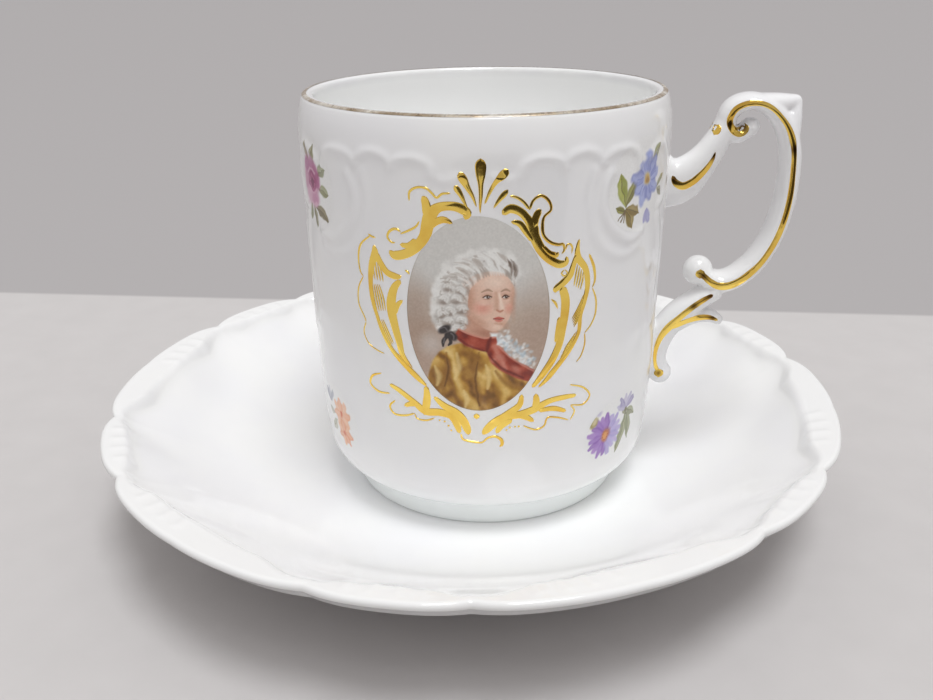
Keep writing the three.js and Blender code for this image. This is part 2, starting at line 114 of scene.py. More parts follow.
def smooth_path(points, count):
    """count points along a centripetal curve through points; extra columns, such as widths, follow along."""
    p = np.asarray(points, float)
    p = np.vstack([2 * p[0] - p[1], p, 2 * p[-1] - p[-2]])
    steps = np.sqrt(np.maximum(np.linalg.norm(np.diff(p[:, :2], axis=0), axis=1), 1e-6))
    knots = np.concatenate([[0], np.cumsum(steps)])
    t = np.linspace(knots[1], knots[-2], count)
    span = np.clip(np.searchsorted(knots, t, side="right") - 1, 1, len(p) - 3)
    t0, t1, t2, t3 = (knots[span + offset] for offset in (-1, 0, 1, 2))
    p0, p1, p2, p3 = (p[span + offset] for offset in (-1, 0, 1, 2))

    def between(a, b, ta, tb):
        return a + (b - a) * ((t - ta) / (tb - ta))[:, None]

    a1, a2, a3 = between(p0, p1, t0, t1), between(p1, p2, t1, t2), between(p2, p3, t2, t3)
    b1, b2 = between(a1, a2, t0, t2), between(a2, a3, t1, t3)
    return between(b1, b2, t1, t2)


def path_run(path):
    """Distance along a path at each of its points."""
    steps = np.linalg.norm(np.diff(np.asarray(path, float)[:, :2], axis=0), axis=1)
    return np.concatenate([[0], np.cumsum(steps)])


def path_directions(path):
    along = np.gradient(path[:, :2], axis=0)
    return along / np.maximum(np.linalg.norm(along, axis=1), 1e-9)[:, None]


def path_distance(u, v, path):
    """Distance of points from a polyline, and the share of the way along it."""
    best = np.full(u.shape, 1e9)
    along = np.zeros(u.shape)
    last = len(path) - 1
    for index in range(last):
        a, b = path[index, :2], path[index + 1, :2]
        ab = b - a
        share = np.clip(((u - a[0]) * ab[0] + (v - a[1]) * ab[1]) / max(ab @ ab, 1e-12), 0, 1)
        away = np.hypot(u - a[0] - share * ab[0], v - a[1] - share * ab[1])
        nearer = away < best
        best = np.where(nearer, away, best)
        along = np.where(nearer, (index + share) / last, along)
    return best, along


def lattice_noise(u, v, pitch, seed):
    """Smooth noise from 0 to 1 on a seeded lattice."""
    grid = np.random.default_rng(seed).random((NOISE_CELLS, NOISE_CELLS))
    x, y = u / pitch, v / pitch
    i, j = np.floor(x).astype(int), np.floor(y).astype(int)
    fx, fy = smoothstep(0, 1, x - i), smoothstep(0, 1, y - j)
    i0, i1, j0, j1 = (cell % NOISE_CELLS for cell in (i, i + 1, j, j + 1))
    low = lerp(grid[i0, j0], grid[i1, j0], fx)
    high = lerp(grid[i0, j1], grid[i1, j1], fx)
    return lerp(low, high, fy)


def ridges(u, v, strokes):
    """Height of rounded ridges along strokes of (path, width, height)."""
    height = np.zeros(u.shape)
    for path, width, rise in strokes:
        reach = RIDGE_REACH * width
        near = (
            (u > path[:, 0].min() - reach) & (u < path[:, 0].max() + reach)
            & (v > path[:, 1].min() - reach) & (v < path[:, 1].max() + reach)
        )
        if near.any():
            away, _ = path_distance(u[near], v[near], path)
            height[near] = np.maximum(height[near], rise * np.exp(-((away / width) ** 2)))
    return height


# Meshes

def mesh_object(name, points, faces):
    mesh = bpy.data.meshes.new(name)
    mesh.from_pydata((np.asarray(points) * MM).tolist(), [], [list(face) for face in faces])
    mesh.polygons.foreach_set("use_smooth", np.ones(len(mesh.polygons), dtype=bool))
    mesh.update()
    piece = bpy.data.objects.new(name, mesh)
    bpy.context.scene.collection.objects.link(piece)
    return piece


def grid_faces(rows, columns, start=0, wrapped=False):
    row, column = np.meshgrid(np.arange(rows - 1), np.arange(columns - (not wrapped)), indexing="ij")
    here = row * columns + column
    beside = row * columns + (column + 1) % columns
    return start + np.stack([here, beside, beside + columns, here + columns], -1).reshape(-1, 4)


def closed_faces(rows, columns):
    """Faces of rows that run round, closed at each end by a fan to one of the two last points."""
    faces = grid_faces(rows, columns, wrapped=True).tolist()
    start, end, last_row = rows * columns, rows * columns + 1, (rows - 1) * columns
    for column in range(columns):
        beside = (column + 1) % columns
        faces.append([start, beside, column])
        faces.append([end, last_row + column, last_row + beside])
    return faces


def full_turn(count):
    return np.linspace(0, 2 * math.pi, count, endpoint=False)


def round_axis(radius, angle, height):
    """Points round the upright axis."""
    radius, angle, height = np.broadcast_arrays(radius, angle, height)
    return np.stack([radius * np.cos(angle), radius * np.sin(angle), height], -1).reshape(-1, 3)


def turned(profile, columns, shape):
    """Turns (radius, height) rows from the axis below, round the outside, to the axis above."""
    angle = full_turn(columns)[None, :]
    radius, height = shape(angle, *(np.repeat(profile[:, [part]], columns, axis=1) for part in (0, 1)))
    ends = [(0, 0, profile[end, 1]) for end in (0, -1)]
    return np.vstack([round_axis(radius, angle, height), ends]), closed_faces(len(profile), columns)


def joined(parts):
    """Several (points, faces) as one."""
    starts = np.cumsum([0] + [len(points) for points, _ in parts]).tolist()
    faces = [[start + corner for corner in face] for start, (_, part) in zip(starts, parts) for face in part]
    return np.vstack([points for points, _ in parts]), faces


def finish_piece(piece, body, material, nodes):
    piece.data.materials.append(material)
    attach(piece, body)
    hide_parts(*nodes)


# Materials

def linear(colour):
    """A display colour of 0 to 255 as linear values."""
    c = np.asarray(colour, float) / 255
    return np.where(c <= 0.04045, c / 12.92, ((c + 0.055) / 1.055) ** 2.4)


def rgba(colour):
    return (*linear(colour), 1)


NOISE_LOW, NOISE_HIGH = 0.3, 0.7  # most of a noise texture's values lie between these


def add_node(tree, kind, output, sockets, **settings):
    """A new node whose sockets are linked to outputs or set to values; returns one of its own outputs."""
    node = tree.nodes.new(f"ShaderNode{kind}")
    for name, value in settings.items():
        setattr(node, name, value)
    for socket, value in sockets.items():
        if isinstance(value, bpy.types.NodeSocket):
            tree.links.new(value, node.inputs[socket])
        else:
            node.inputs[socket].default_value = value
    return node.outputs[output]


class Surface:
    """A Principled material with its node tree; sizes are in millimetres."""

    def __init__(self, name, **values):
        self.material = bpy.data.materials.new(name)
        self.material.use_nodes = True
        self.tree = self.material.node_tree
        self.shader = self.tree.nodes["Principled BSDF"]
        for key, value in values.items():
            self.shader.inputs[key].default_value = value
        self.place = self.add("TexCoord", "Object", {})

    def add(self, kind, output, sockets, **settings):
        return add_node(self.tree, kind, output, sockets, **settings)

    def link(self, output, socket):
        self.tree.links.new(output, self.shader.inputs[socket])

    def noise(self, size, detail=3.0, roughness=0.5):
        return self.add("TexNoise", "Fac", {
            "Vector": self.place, "Scale": 1 / (size * MM), "Detail": detail, "Roughness": roughness,
        })

    def patches(self, noise, low, high, ends=(NOISE_LOW, NOISE_HIGH)):
        """Two colours in patches; the ends are where the noise has one or the other in full."""
        colour = self.add("ValToRGB", "Color", {"Fac": noise})
        for element, position, tone in zip(colour.node.color_ramp.elements, ends, (low, high)):
            element.position = position
            element.color = tone
        return colour

    def span(self, value, low, high, to_low, to_high):
        return self.add("MapRange", "Result", {
            "Value": value, "From Min": low, "From Max": high, "To Min": to_low, "To Max": to_high,
        })

    def mix(self, factor, a, b, kind="MIX"):
        return self.add("Mix", 2, {0: factor, 6: a, 7: b}, data_type="RGBA", blend_type=kind)

    def attribute(self, name, output):
        return self.add("Attribute", output, {}, attribute_name=name)

    def patchy_roughness(self, size, low, high):
        self.link(self.span(self.noise(size), NOISE_LOW, NOISE_HIGH, low, high), "Roughness")

    def bump(self, height, depth, strength):
        self.link(self.add("Bump", "Normal", {
            "Height": height, "Distance": depth * MM, "Strength": strength,
        }), "Normal")


GLAZE_WHITE = (242, 242, 242)
GLAZE_COOL = (239, 239, 241)
# Painted light: a paler glaze for the cup's inside, which stands in for its brighter lighting
GLAZE_INSIDE_PAINTED_LIGHT = (252, 252, 252)
GLAZE_BORDER = (237, 237, 237)
GLAZE_FOOT = (246, 250, 249)


def glaze_material(name, tint=None, foot=None):
    """White porcelain under a clear glaze, with a faint tint where the mesh says so (painted light on the cup's
    inside, a slightly greyer tone on the saucer's border) and at a foot.
    """
    surface = Surface(name, IOR=1.6)
    colour = surface.patches(surface.noise(16), rgba(GLAZE_COOL), rgba(GLAZE_WHITE), ends=(0.35, 0.65))
    if tint:
        colour = surface.mix(surface.attribute("tint", "Fac"), colour, rgba(tint))
    if foot is not None:
        low, high = foot
        height = surface.add("SeparateXYZ", "Z", {0: surface.place})
        colour = surface.mix(surface.span(height, low * MM, high * MM, 1, 0), colour, rgba(GLAZE_FOOT))
    surface.link(colour, "Base Color")
    surface.patchy_roughness(7, 0.05, 0.11)
    surface.bump(surface.noise(5, detail=2), 0.004, 0.5)
    return surface.material


def set_tint(piece, shares):
    """How much of its material's tint each point of a piece has; points after the last share have none."""
    tint = piece.data.attributes.new("tint", "FLOAT", "POINT")
    tint.data.foreach_set("value", np.pad(np.ravel(shares), (0, len(piece.data.vertices) - np.size(shares))))


GOLD_BRIGHT, GOLD_WORN, GOLD_PAINTED_REFLECTION = (252, 218, 110), (238, 192, 84), (104, 70, 30)
RIM_LIGHT, RIM_DARK, RIM_WORN = (188, 170, 144), (158, 138, 112), (206, 201, 192)


def gilding_material(name, tinted=False):
    """Burnished fired gold, thinner and browner in patches, with a painted dark reflection where the mesh says so.
    """
    surface = Surface(name, Metallic=1.0)
    colour = surface.patches(surface.noise(5), rgba(GOLD_WORN), rgba(GOLD_BRIGHT), ends=(0.3, 0.55))
    if tinted:
        # Painted dark reflection mixed into the gold where the tint says so
        colour = surface.mix(surface.attribute("tint", "Fac"), colour, rgba(GOLD_PAINTED_REFLECTION))
    surface.link(colour, "Base Color")
    surface.patchy_roughness(0.9, 0.05, 0.12)
    surface.bump(surface.noise(0.8), 0.004, 0.5)
    return surface.material


def worn_line_material(name):
    """A dull gold line rubbed through to the white in places."""
    surface = Surface(name)
    worn = surface.span(surface.noise(6, detail=5, roughness=0.65), 0.42, 0.62, 0, 1)
    gold = surface.patches(surface.noise(1.3), rgba(RIM_DARK), rgba(RIM_LIGHT))
    surface.link(surface.mix(worn, gold, rgba(RIM_WORN)), "Base Color")
    surface.link(surface.span(worn, 0, 1, 0.6, 0.0), "Metallic")
    surface.patchy_roughness(0.8, 0.2, 0.38)
    surface.bump(surface.noise(0.6), 0.01, 0.6)
    return surface.material


def enamel_material(name):
    """Fired colours, painted on the mesh, with the faint grain of the print."""
    surface = Surface(name, IOR=1.5)
    grain = surface.patches(surface.noise(0.35, detail=2), (0.95, 0.95, 0.95, 1), (1, 1, 1, 1))
    surface.link(surface.mix(1, surface.attribute("paint", "Color"), grain, "MULTIPLY"), "Base Color")
    surface.patchy_roughness(3, 0.08, 0.16)
    surface.bump(surface.noise(1.2), 0.006, 0.5)
    return surface.material


# Cup body: the outside from the foot up, its low relief, then the lip and the inside

FOOT_TOP = (24.3, 4.35)
WALL_START = (28.9, 9.5)
QUARTER = math.pi / 2
SHOULDER_START, SHOULDER_ROWS = 0.18, 15
WALL_ROWS, INSIDE_ROWS, RELIEF_POINTS = 190, 46, 26
SHOULDER = [
    (lerp(FOOT_TOP[0], WALL_START[0], math.sin(turn)), lerp(WALL_START[1], FOOT_TOP[1], math.cos(turn)))
    for turn in np.linspace(SHOULDER_START * QUARTER, QUARTER, SHOULDER_ROWS)
]
WALL = [
    WALL_START, (29.42, 14), (29.8, 21), (30.02, 31), (30.22, 42), (30.42, 52), (30.6, 61), (30.58, 63.4),
    (30.32, 65.6), (29.95, 67.2), (29.72, 67.9),
]
wall_line = smooth_path(WALL, WALL_ROWS)
UNDER_FOOT = [
    (0.5, 1.6), (8, 1.6), (16, 1.6), (20.6, 1.6), (21.4, 1.5), (21.75, 1.1), (21.9, 0.4), (22.1, 0.1), (22.4, 0),
    (23.5, 0), (23.85, 0.1), (24.08, 0.4), (24.15, 1), (24.22, 2.4), (24.3, 3.1), (24.45, 3.7), (24.75, 4.15),
]
LIP = [
    (29.6, 68.12), (29.4, 68.3), (29.1, 68.4), (28.7, 68.42), (28.3, 68.4), (28.02, 68.25), (27.88, 67.95),
    (27.8, 67.5),
]
INSIDE = [
    (27.8, 67.5), (28.15, 64.5), (28.4, 61), (28.2, 50), (27.9, 36), (27.6, 21), (27.25, 14), (26.6, 9.8),
    (25.2, 6.6), (23.6, 5.3), (21.5, 4.85), (18, 4.8),
]
INSIDE_FLOOR = [(12, 4.8), (5, 4.8), (0.5, 4.8)]
cup_profile = np.vstack([
    UNDER_FOOT, SHOULDER, wall_line[1:-1], LIP, smooth_path(INSIDE, INSIDE_ROWS)[1:], INSIDE_FLOOR,
])
first_wall_row = len(UNDER_FOOT) + len(SHOULDER)
wall_rows = slice(first_wall_row, first_wall_row + WALL_ROWS - 2)
inside_rows = slice(wall_rows.stop + len(LIP), None)
FOOT_TINT_ENDS = np.array([3.5, 9])  # the foot's tint is full below the first height and gone above the second

# Relief beside the picture: degrees from the front and height of each point, width and rise of the ridge;
# it is mirrored left and right, and comes again at the back
RELIEF_STROKES = [
    ([(11.7, 60.4), (12.6, 61.6), (15.7, 62.5), (19.8, 62.5), (22.6, 61.9), (23.6, 61.2)], 0.75, 0.26),
    ([(23.2, 61.4), (25.4, 62.5), (29.3, 63.1), (32.8, 62.6), (35, 61.7), (35.8, 61)], 0.75, 0.26),
    ([(35.2, 61.2), (38, 62.2), (42.4, 62.6), (46.6, 62.3), (49.4, 61.2), (50.4, 59.4)], 0.75, 0.28),
    ([(38.6, 59.2), (36.8, 57.4), (36.4, 55.2), (38.2, 52.6), (42.4, 50.2), (48, 48.6), (53.4, 49.2)], 0.9, 0.3),
    ([(33, 60), (31.8, 56.4), (33.4, 51.4), (38.6, 47.8), (46, 46.4), (53, 47.2)], 0.9, 0.18),
    ([(55, 60.4), (61, 61.8), (67, 61), (70.4, 57.4), (69, 53.4), (64.6, 52.2)], 0.85, 0.26),
    ([(64.8, 50.6), (68.4, 46.4), (69, 41.4), (66.8, 36.8), (67.4, 32.2)], 0.8, 0.28),
    ([(73, 48), (74.4, 42), (72.6, 36.2), (74, 30)], 0.7, 0.2),
    ([(4.6, 60.2), (8.6, 59.6), (11.7, 60.4)], 0.7, 0.16),
]
relief_paths = []
for degrees_and_heights, ridge_width, ridge_rise in RELIEF_STROKES:
    drawn = smooth_path(degrees_and_heights, RELIEF_POINTS)
    for mirror in (1, -1):
        for turn in (0, 180):
            arc = np.radians(mirror * drawn[:, 0] + turn) * ARC_RADIUS
            relief_paths.append((np.stack([arc, drawn[:, 1]], -1), ridge_width, ridge_rise))


def wall_radius(height):
    return np.interp(height, wall_line[:, 1], wall_line[:, 0])


def wall_relief(arc, height):
    """Moulded ridges on the wall; arc runs right from the front, and once round."""
    girth = 2 * math.pi * ARC_RADIUS
    arc = np.mod(arc + girth / 4, girth) - girth / 4
    return np.maximum(ridges(arc, height, relief_paths), ridges(arc - girth, height, relief_paths))


def shape_cup(angle, radius, height):
    arc = np.broadcast_to((angle - FRONT_AZIMUTH) * ARC_RADIUS, radius.shape)
    raised = radius.copy()
    raised[wall_rows] += wall_relief(arc[wall_rows], height[wall_rows])
    return raised, height


def on_cup(points):
    return points + [CUP_AXIS[0], CUP_AXIS[1], CUP_LOW[2]]


def on_wall(arc, height, lift):
    """Points on the glaze: arc to the right of the front, height above the foot, lift off the wall."""
    angle = FRONT_AZIMUTH + arc / ARC_RADIUS
    radius = wall_radius(height) + wall_relief(arc, height) + lift
    return on_cup(round_axis(radius, angle, height))


cup_points, cup_faces = turned(cup_profile, CUP_COLUMNS, shape_cup)
cup_glazed = mesh_object("cup_glazed", on_cup(cup_points), cup_faces)
# Painted light on the inside rows: their glaze is paler than the outside's
cup_painted_light = np.zeros((len(cup_profile), CUP_COLUMNS))
cup_painted_light[inside_rows] = 1
set_tint(cup_glazed, cup_painted_light)
cup_glaze = glaze_material("cup glaze", GLAZE_INSIDE_PAINTED_LIGHT, foot=CUP_LOW[2] + FOOT_TINT_ENDS)
finish_piece(cup_glazed, "cup", cup_glaze, ["cup_body"])


# Saucer: bowl, rolled lobed edge, foot ring, and moulded relief along the edge

SAUCER_THICKNESS = (2.8, 1.8)  # in the well and at the edge


def bowl_height(radius, edge=CREST_RADIUS):
    share = np.maximum(0, (radius - WELL_RADIUS) / (edge - WELL_RADIUS))
    return WELL_HEIGHT + (SAUCER_HEIGHT - WELL_HEIGHT) * share ** BOWL_CURVE


def underside(radius):
    share = np.maximum(0, (radius - WELL_RADIUS) / (SAUCER_RADIUS - WELL_RADIUS))
    return bowl_height(radius, SAUCER_RADIUS) - lerp(*SAUCER_THICKNESS, share)


UNDER_WELL = [(0.5, 2.2), (12, 2.2), (24, 2.2), (30, 2.25), (32.2, 2.3), (32.6, 2.1), (32.8, 1.6)]
SAUCER_FOOT = [(32.85, 0.6), (33, 0.2), (33.4, 0), (35.2, 0), (35.7, 0.15), (35.9, 0.6), (36, 1.4), (36.3, 2.2)]
ROLLED_EDGE = [
    (63.6, 18.1), (64.2, 18.4), (64.62, 18.66), (64.86, 18.95), (64.93, 19.25), (64.88, 19.55), (64.7, 19.8),
    (64.4, 19.93),
]
under_radii = np.linspace(37.2, 62.6, 18)
bowl_radii = np.concatenate([np.linspace(64, 51, 53), np.linspace(50, WELL_RADIUS - 1, 16), [20, 10, 0.5]])
saucer_profile = np.vstack([
    UNDER_WELL, SAUCER_FOOT, np.stack([under_radii, underside(under_radii)], -1),
    ROLLED_EDGE, np.stack([bowl_radii, bowl_height(bowl_radii)], -1),
])

# Edge relief within a sixth of the round, degrees from the middle of its narrow lobe: a flat border that is
# wide in each lobe and narrow at the notches, a small step above the bowl, with short flutes on it
SECTOR_DEGREES = 60
NARROW_HALF = 10
BORDER_EDGE_RADIUS, BORDER_EDGE_HEIGHT = 64.4, 19.93
BORDER_SLOPE = 0.15
BORDER_STEP = 2.2
BORDER_DROP = 0.8
BORDER_AT_NOTCH, BORDER_AT_NARROW, BORDER_AT_WIDE = 62, 59.7, 58.3
NOTCH_SHARE, NOTCH_SOFT_SHARE = 0.45, 1
BLEND_REACH = 9
RELIEF_RADIUS = 60
# Share of the slightly greyer border glaze: full along the border's inner step, and most of it on the border, the
# edge and the underside
BORDER_TONE_REACH, BORDER_TONE_SHARE = 0.9, 0.8
FLUTE_WIDTH, FLUTE_RISE, FLUTE_SPREAD = 0.75, 0.14, 1.03
FLUTES = [  # degrees, inner and outer radius
    (-4.8, 61.2, 62.6), (-1.6, 60.9, 62.6), (1.6, 60.9, 62.6), (4.8, 61.2, 62.6),
    (17.4, 60.4, 62.4), (20.6, 59.9, 62.4), (23.8, 59.8, 62.2), (27, 59.8, 61.8),
]
flute_paths = [
    (np.radians([(degrees, 0), (degrees * FLUTE_SPREAD, 0)]) * RELIEF_RADIUS + [(0, low), (0, high)],
     FLUTE_WIDTH, FLUTE_RISE)
    for degrees, low, high in FLUTES
]


def border_height(radius):
    return BORDER_EDGE_HEIGHT - BORDER_SLOPE * (BORDER_EDGE_RADIUS - radius)


def edge_relief(angle, radius):
    """Height of the border's relief above the bowl, and how much of the slightly greyer border glaze each point
    takes, most along the border's inner step.
    """
    degrees = np.degrees(angle - LOBE_PHASE) - NARROW_HALF + SECTOR_DEGREES / 2
    turn = np.mod(degrees, SECTOR_DEGREES) - SECTOR_DEGREES / 2
    narrow = np.abs(turn) < NARROW_HALF
    wide_half = SECTOR_DEGREES / 2 - NARROW_HALF
    across = np.where(narrow, turn / NARROW_HALF, (SECTOR_DEGREES / 2 - np.abs(turn)) / wide_half)
    widest = np.where(narrow, BORDER_AT_NARROW, BORDER_AT_WIDE)
    inner, soft = (
        lerp(BORDER_AT_NOTCH, widest, smoothstep(0, share, 1 - np.abs(across)))
        for share in (NOTCH_SHARE, NOTCH_SOFT_SHARE)
    )
    bowl = bowl_height(radius)
    gap = border_height(soft) - BORDER_DROP - bowl_height(soft)
    bowl_edge = bowl + gap * smoothstep(-BLEND_REACH, 0, radius - soft)
    step = smoothstep(0, BORDER_STEP, radius - inner)
    flutes = ridges(np.radians(turn) * RELIEF_RADIUS, radius, flute_paths)
    border_tone = np.maximum(np.exp(-(((radius - inner) / BORDER_TONE_REACH) ** 2)), BORDER_TONE_SHARE * step)
    return lerp(bowl_edge, border_height(radius), step) - bowl + flutes, border_tone


def notch_depth(angle):
    """Depth of the scalloped edge: two deep notches, then a shallow one."""
    lobe = (angle - LOBE_PHASE) / (2 * math.pi) * LOBE_COUNT
    depth = np.where(np.mod(np.round(lobe), 3) == 2, SHALLOW_NOTCH, DEEP_NOTCH)
    return depth * (1 - np.abs(np.sin(math.pi * lobe))) ** 2


def shape_saucer(angle, radius, height):
    share = np.maximum(0, (radius - SAUCER_FOOT_RADIUS) / (SAUCER_RADIUS - SAUCER_FOOT_RADIUS))
    notch = notch_depth(angle)
    lowered = height - NOTCH_SINK * notch * share ** NOTCH_SINK_CURVE
    bowl_angle = np.broadcast_to(angle, radius.shape)[bowl_rows]
    relief, saucer_border_tone[bowl_rows] = edge_relief(bowl_angle, radius[bowl_rows])
    lowered[bowl_rows] += relief
    return radius - notch * share ** NOTCH_CUT_CURVE, lowered


bowl_rows = slice(len(saucer_profile) - len(bowl_radii), None)
saucer_border_tone = np.full((len(saucer_profile), SAUCER_COLUMNS), BORDER_TONE_SHARE)
saucer_points, saucer_faces = turned(saucer_profile, SAUCER_COLUMNS, shape_saucer)
saucer_glazed = mesh_object("saucer_glazed", saucer_points, saucer_faces)
set_tint(saucer_glazed, saucer_border_tone)
finish_piece(saucer_glazed, "saucer", glaze_material("saucer glaze", GLAZE_BORDER), ["saucer"])


# Handle strokes in its own plane: out from the wall, up, half width, share of the breadth

HANDLE_STROKES = {
    "arm": [
        (-2.1, 37.5, 5, 0.8), (2.1, 37.6, 4, 0.8), (5.3, 40.4, 2.7, 0.82), (7.8, 44.4, 2, 0.86), (9, 48, 1.5, 0.8),
    ],
    "sweep": [
        (12.6, 46.6, 1.2, 0.66), (11.2, 45.2, 1.3, 0.7), (9.5, 45.6, 1.4, 0.76), (8.8, 47.6, 1.5, 0.82),
        (9.7, 49.6, 1.5, 0.88), (12.2, 50.6, 1.4, 0.94), (15.2, 49.8, 1.5, 1), (17.8, 47.2, 1.6, 1),
        (19.4, 43.4, 1.65, 1), (19.9, 38, 1.65, 1), (19.5, 32.4, 1.65, 1), (17.9, 26.7, 1.7, 0.96),
        (14.8, 22, 1.8, 0.9), (11.3, 19.9, 1.8, 0.84), (8.7, 20.4, 1.7, 0.78), (7.2, 21.8, 1.8, 0.7),
    ],
    "thumb": [(14, 50.3, 1.5, 0.86), (17.4, 50.4, 1.4, 0.7), (20, 51, 0.6, 0.36)],
    "thumb_back": [(19.2, 44.6, 1.5, 0.86), (19.2, 48, 1.5, 0.7), (19.8, 50.9, 0.7, 0.36)],
    "root": [
        (10.4, 18.6, 1.6, 0.8), (7, 16.2, 1.9, 0.8), (3.8, 13.2, 2.2, 0.78), (1.5, 9.6, 2.2, 0.74),
        (0.8, 5.6, 2, 0.7), (1.6, 2.4, 1.9, 0.62),
    ],
    "spur": [(3.4, 11.6, 1.6, 0.62), (6.9, 13.3, 1.3, 0.56), (9.6, 13.4, 1.2, 0.48), (11.7, 12.4, 0.8, 0.34)],
}
HANDLE_BALLS = [(12.8, 46.5, 1.5, 0.72), (6.8, 21.8, 2.6, 0.7), (1.9, 2.3, 2.1, 0.64)]
ROOT_UP, ARM_UP = 5.6, 37.5
TUBE_SIDES = 24
TUBE_FULLNESS = 0.86
TUBE_PITCH, TUBE_LEAST_ROWS = 0.5, 12
TUBE_END = 0.6
BALL_ROWS, BALL_OPENING = 14, 0.03
PAD_ROWS, PAD_COLUMNS, PAD_DEPTHS = 10, 12, (0.14, 1.5)
LUTING_PADS = [(46.5, 60.5, 4.4), (16.5, 30.5, 4)]  # lowest and highest point, half width
ROOT_DEPTH = 1.2


def handle_plane(out, up):
    """Radius and height of a drawn point; the drawing leans with the wall between its two roots."""
    height = HANDLE_FOOT + up * HANDLE_SCALE
    roots = wall_radius(HANDLE_FOOT + np.array([ROOT_UP, ARM_UP]) * HANDLE_SCALE)
    return lerp(roots[0], roots[1], (up - ROOT_UP) / (ARM_UP - ROOT_UP)) + out, height


def handle_place(points):
    """From the handle's plane (radius, across, height) to the frame."""
    c, s = math.cos(HANDLE_AZIMUTH), math.sin(HANDLE_AZIMUTH)
    x, y, z = np.asarray(points).T
    return on_cup(np.stack([c * x - s * y, s * x + c * y, z], -1))


def tube(stroke):
    """A full oval bar along a stroke, with rounded ends."""
    path = smooth_path(stroke, max(TUBE_LEAST_ROWS, int(path_run(stroke)[-1] / TUBE_PITCH)))
    middle = np.stack(handle_plane(path[:, 0], path[:, 1]), -1)
    along = path_directions(middle)
    angle = full_turn(TUBE_SIDES)
    wide, deep = (np.sign(wave) * np.abs(wave) ** TUBE_FULLNESS for wave in (np.cos(angle), np.sin(angle)))
    rings = np.stack([
        middle[:, :1] + along[:, 1:] * path[:, 2:3] * wide,
        path[:, 3:4] * HANDLE_BREADTH / 2 * deep,
        middle[:, 1:] - along[:, :1] * path[:, 2:3] * wide,
    ], -1)
    ends = [middle[end] + sign * along[end] * path[end, 2] * TUBE_END for end, sign in ((0, -1), (-1, 1))]
    return np.vstack([rings.reshape(-1, 3), [(x, 0, z) for x, z in ends]]), closed_faces(len(path), TUBE_SIDES)


def ball(out, up, size, share):
    """A flattened ball at a scroll's end."""
    polar = np.linspace(BALL_OPENING, math.pi - BALL_OPENING, BALL_ROWS)[:, None]
    angle = full_turn(TUBE_SIDES)[None, :]
    radius, height = handle_plane(out, up)
    points = np.stack(np.broadcast_arrays(
        radius + size * np.sin(polar) * np.cos(angle),
        share * HANDLE_BREADTH / 2 * np.sin(polar) * np.sin(angle),
        height + size * np.cos(polar),
    ), -1).reshape(-1, 3)
    corners = list(range(len(points)))
    ends = [corners[:TUBE_SIDES], corners[-TUBE_SIDES:][::-1]]
    return points, grid_faces(BALL_ROWS, TUBE_SIDES, wrapped=True).tolist() + ends


def luting_pad(low, high, half_width):
    """A piece of the wall just under its glaze, which the handle's root flows into."""
    height = np.linspace(low, high, PAD_ROWS)[:, None]
    angle = np.linspace(-half_width, half_width, PAD_COLUMNS)[None, :] / ARC_RADIUS
    sheets = [round_axis(wall_radius(height) - depth, angle, height) for depth in PAD_DEPTHS]
    count = PAD_ROWS * PAD_COLUMNS
    index = np.arange(count).reshape(PAD_ROWS, PAD_COLUMNS)
    border = np.concatenate([index[0], index[1:, -1], index[-1, -2::-1], index[-2:0:-1, 0]])
    beside = np.roll(border, -1)
    faces = np.vstack([
        grid_faces(PAD_ROWS, PAD_COLUMNS),
        grid_faces(PAD_ROWS, PAD_COLUMNS, start=count)[:, ::-1],
        np.stack([border + count, beside + count, beside, border], -1),
    ])
    return np.vstack(sheets), faces.tolist()


def melted(points, faces):
    """Closed parts flowed into one smooth skin; points stay in millimetres."""
    raw = bpy.data.meshes.new("raw")
    raw.from_pydata(points.tolist(), [], faces)
    raw.update()
    holder = bpy.data.objects.new("raw", raw)
    bpy.context.scene.collection.objects.link(holder)
    remesh = holder.modifiers.new("remesh", "REMESH")
    remesh.mode = "VOXEL"
    remesh.voxel_size = HANDLE_VOXEL
    smooth = holder.modifiers.new("smooth", "SMOOTH")
    smooth.factor = 0.5
    smooth.iterations = HANDLE_SMOOTHING
    skin = holder.evaluated_get(bpy.context.evaluated_depsgraph_get()).to_mesh()
    flat = np.empty(len(skin.vertices) * 3)
    skin.vertices.foreach_get("co", flat)
    skin_faces = [list(polygon.vertices) for polygon in skin.polygons]
    holder.to_mesh_clear()
    bpy.data.objects.remove(holder)
    bpy.data.meshes.remove(raw)
    return flat.reshape(-1, 3), skin_faces


def lofted_handle():
    parts = [tube(stroke) for stroke in HANDLE_STROKES.values()]
    parts += [ball(*each) for each in HANDLE_BALLS] + [luting_pad(*each) for each in LUTING_PADS]
    points, faces = melted(*joined(parts))
    reach = np.hypot(points[:, 0], points[:, 1])
    least = wall_radius(points[:, 2]) - ROOT_DEPTH
    points[:, :2] *= np.where(reach < least, least / reach, 1)[:, None]
    return points, faces


handle_points, handle_faces = lofted_handle()
handle_skin = BVHTree.FromPolygons(handle_points.tolist(), handle_faces)
handle_glazed = mesh_object("handle_glazed", handle_place(handle_points), handle_faces)
finish_piece(handle_glazed, "cup", glaze_material("handle glaze"), ["handle"])


# Gilding: soft-edged ribbons of gold, laid on the wall or on the handle's faces

RIBBON_PITCH, RIBBON_LEAST_ROWS = 0.3, 6
RIBBON_LEAST_HALF, RIBBON_TIP = 0.05, 0.004
DROP_FROM, FACE_OUT = 20, 2.4  # where a ribbon falls on the handle from, and about where the handle's face is
HATCH_WIDTHS = (0.15, 0.3, 0.15)
RIBBON_ACROSS = np.array([-1, -0.9, -0.76, 0, 0.76, 0.9, 1])
RIBBON_LIFT = np.array([0.012, 0.042, 0.052, 0.056, 0.052, 0.042, 0.012])


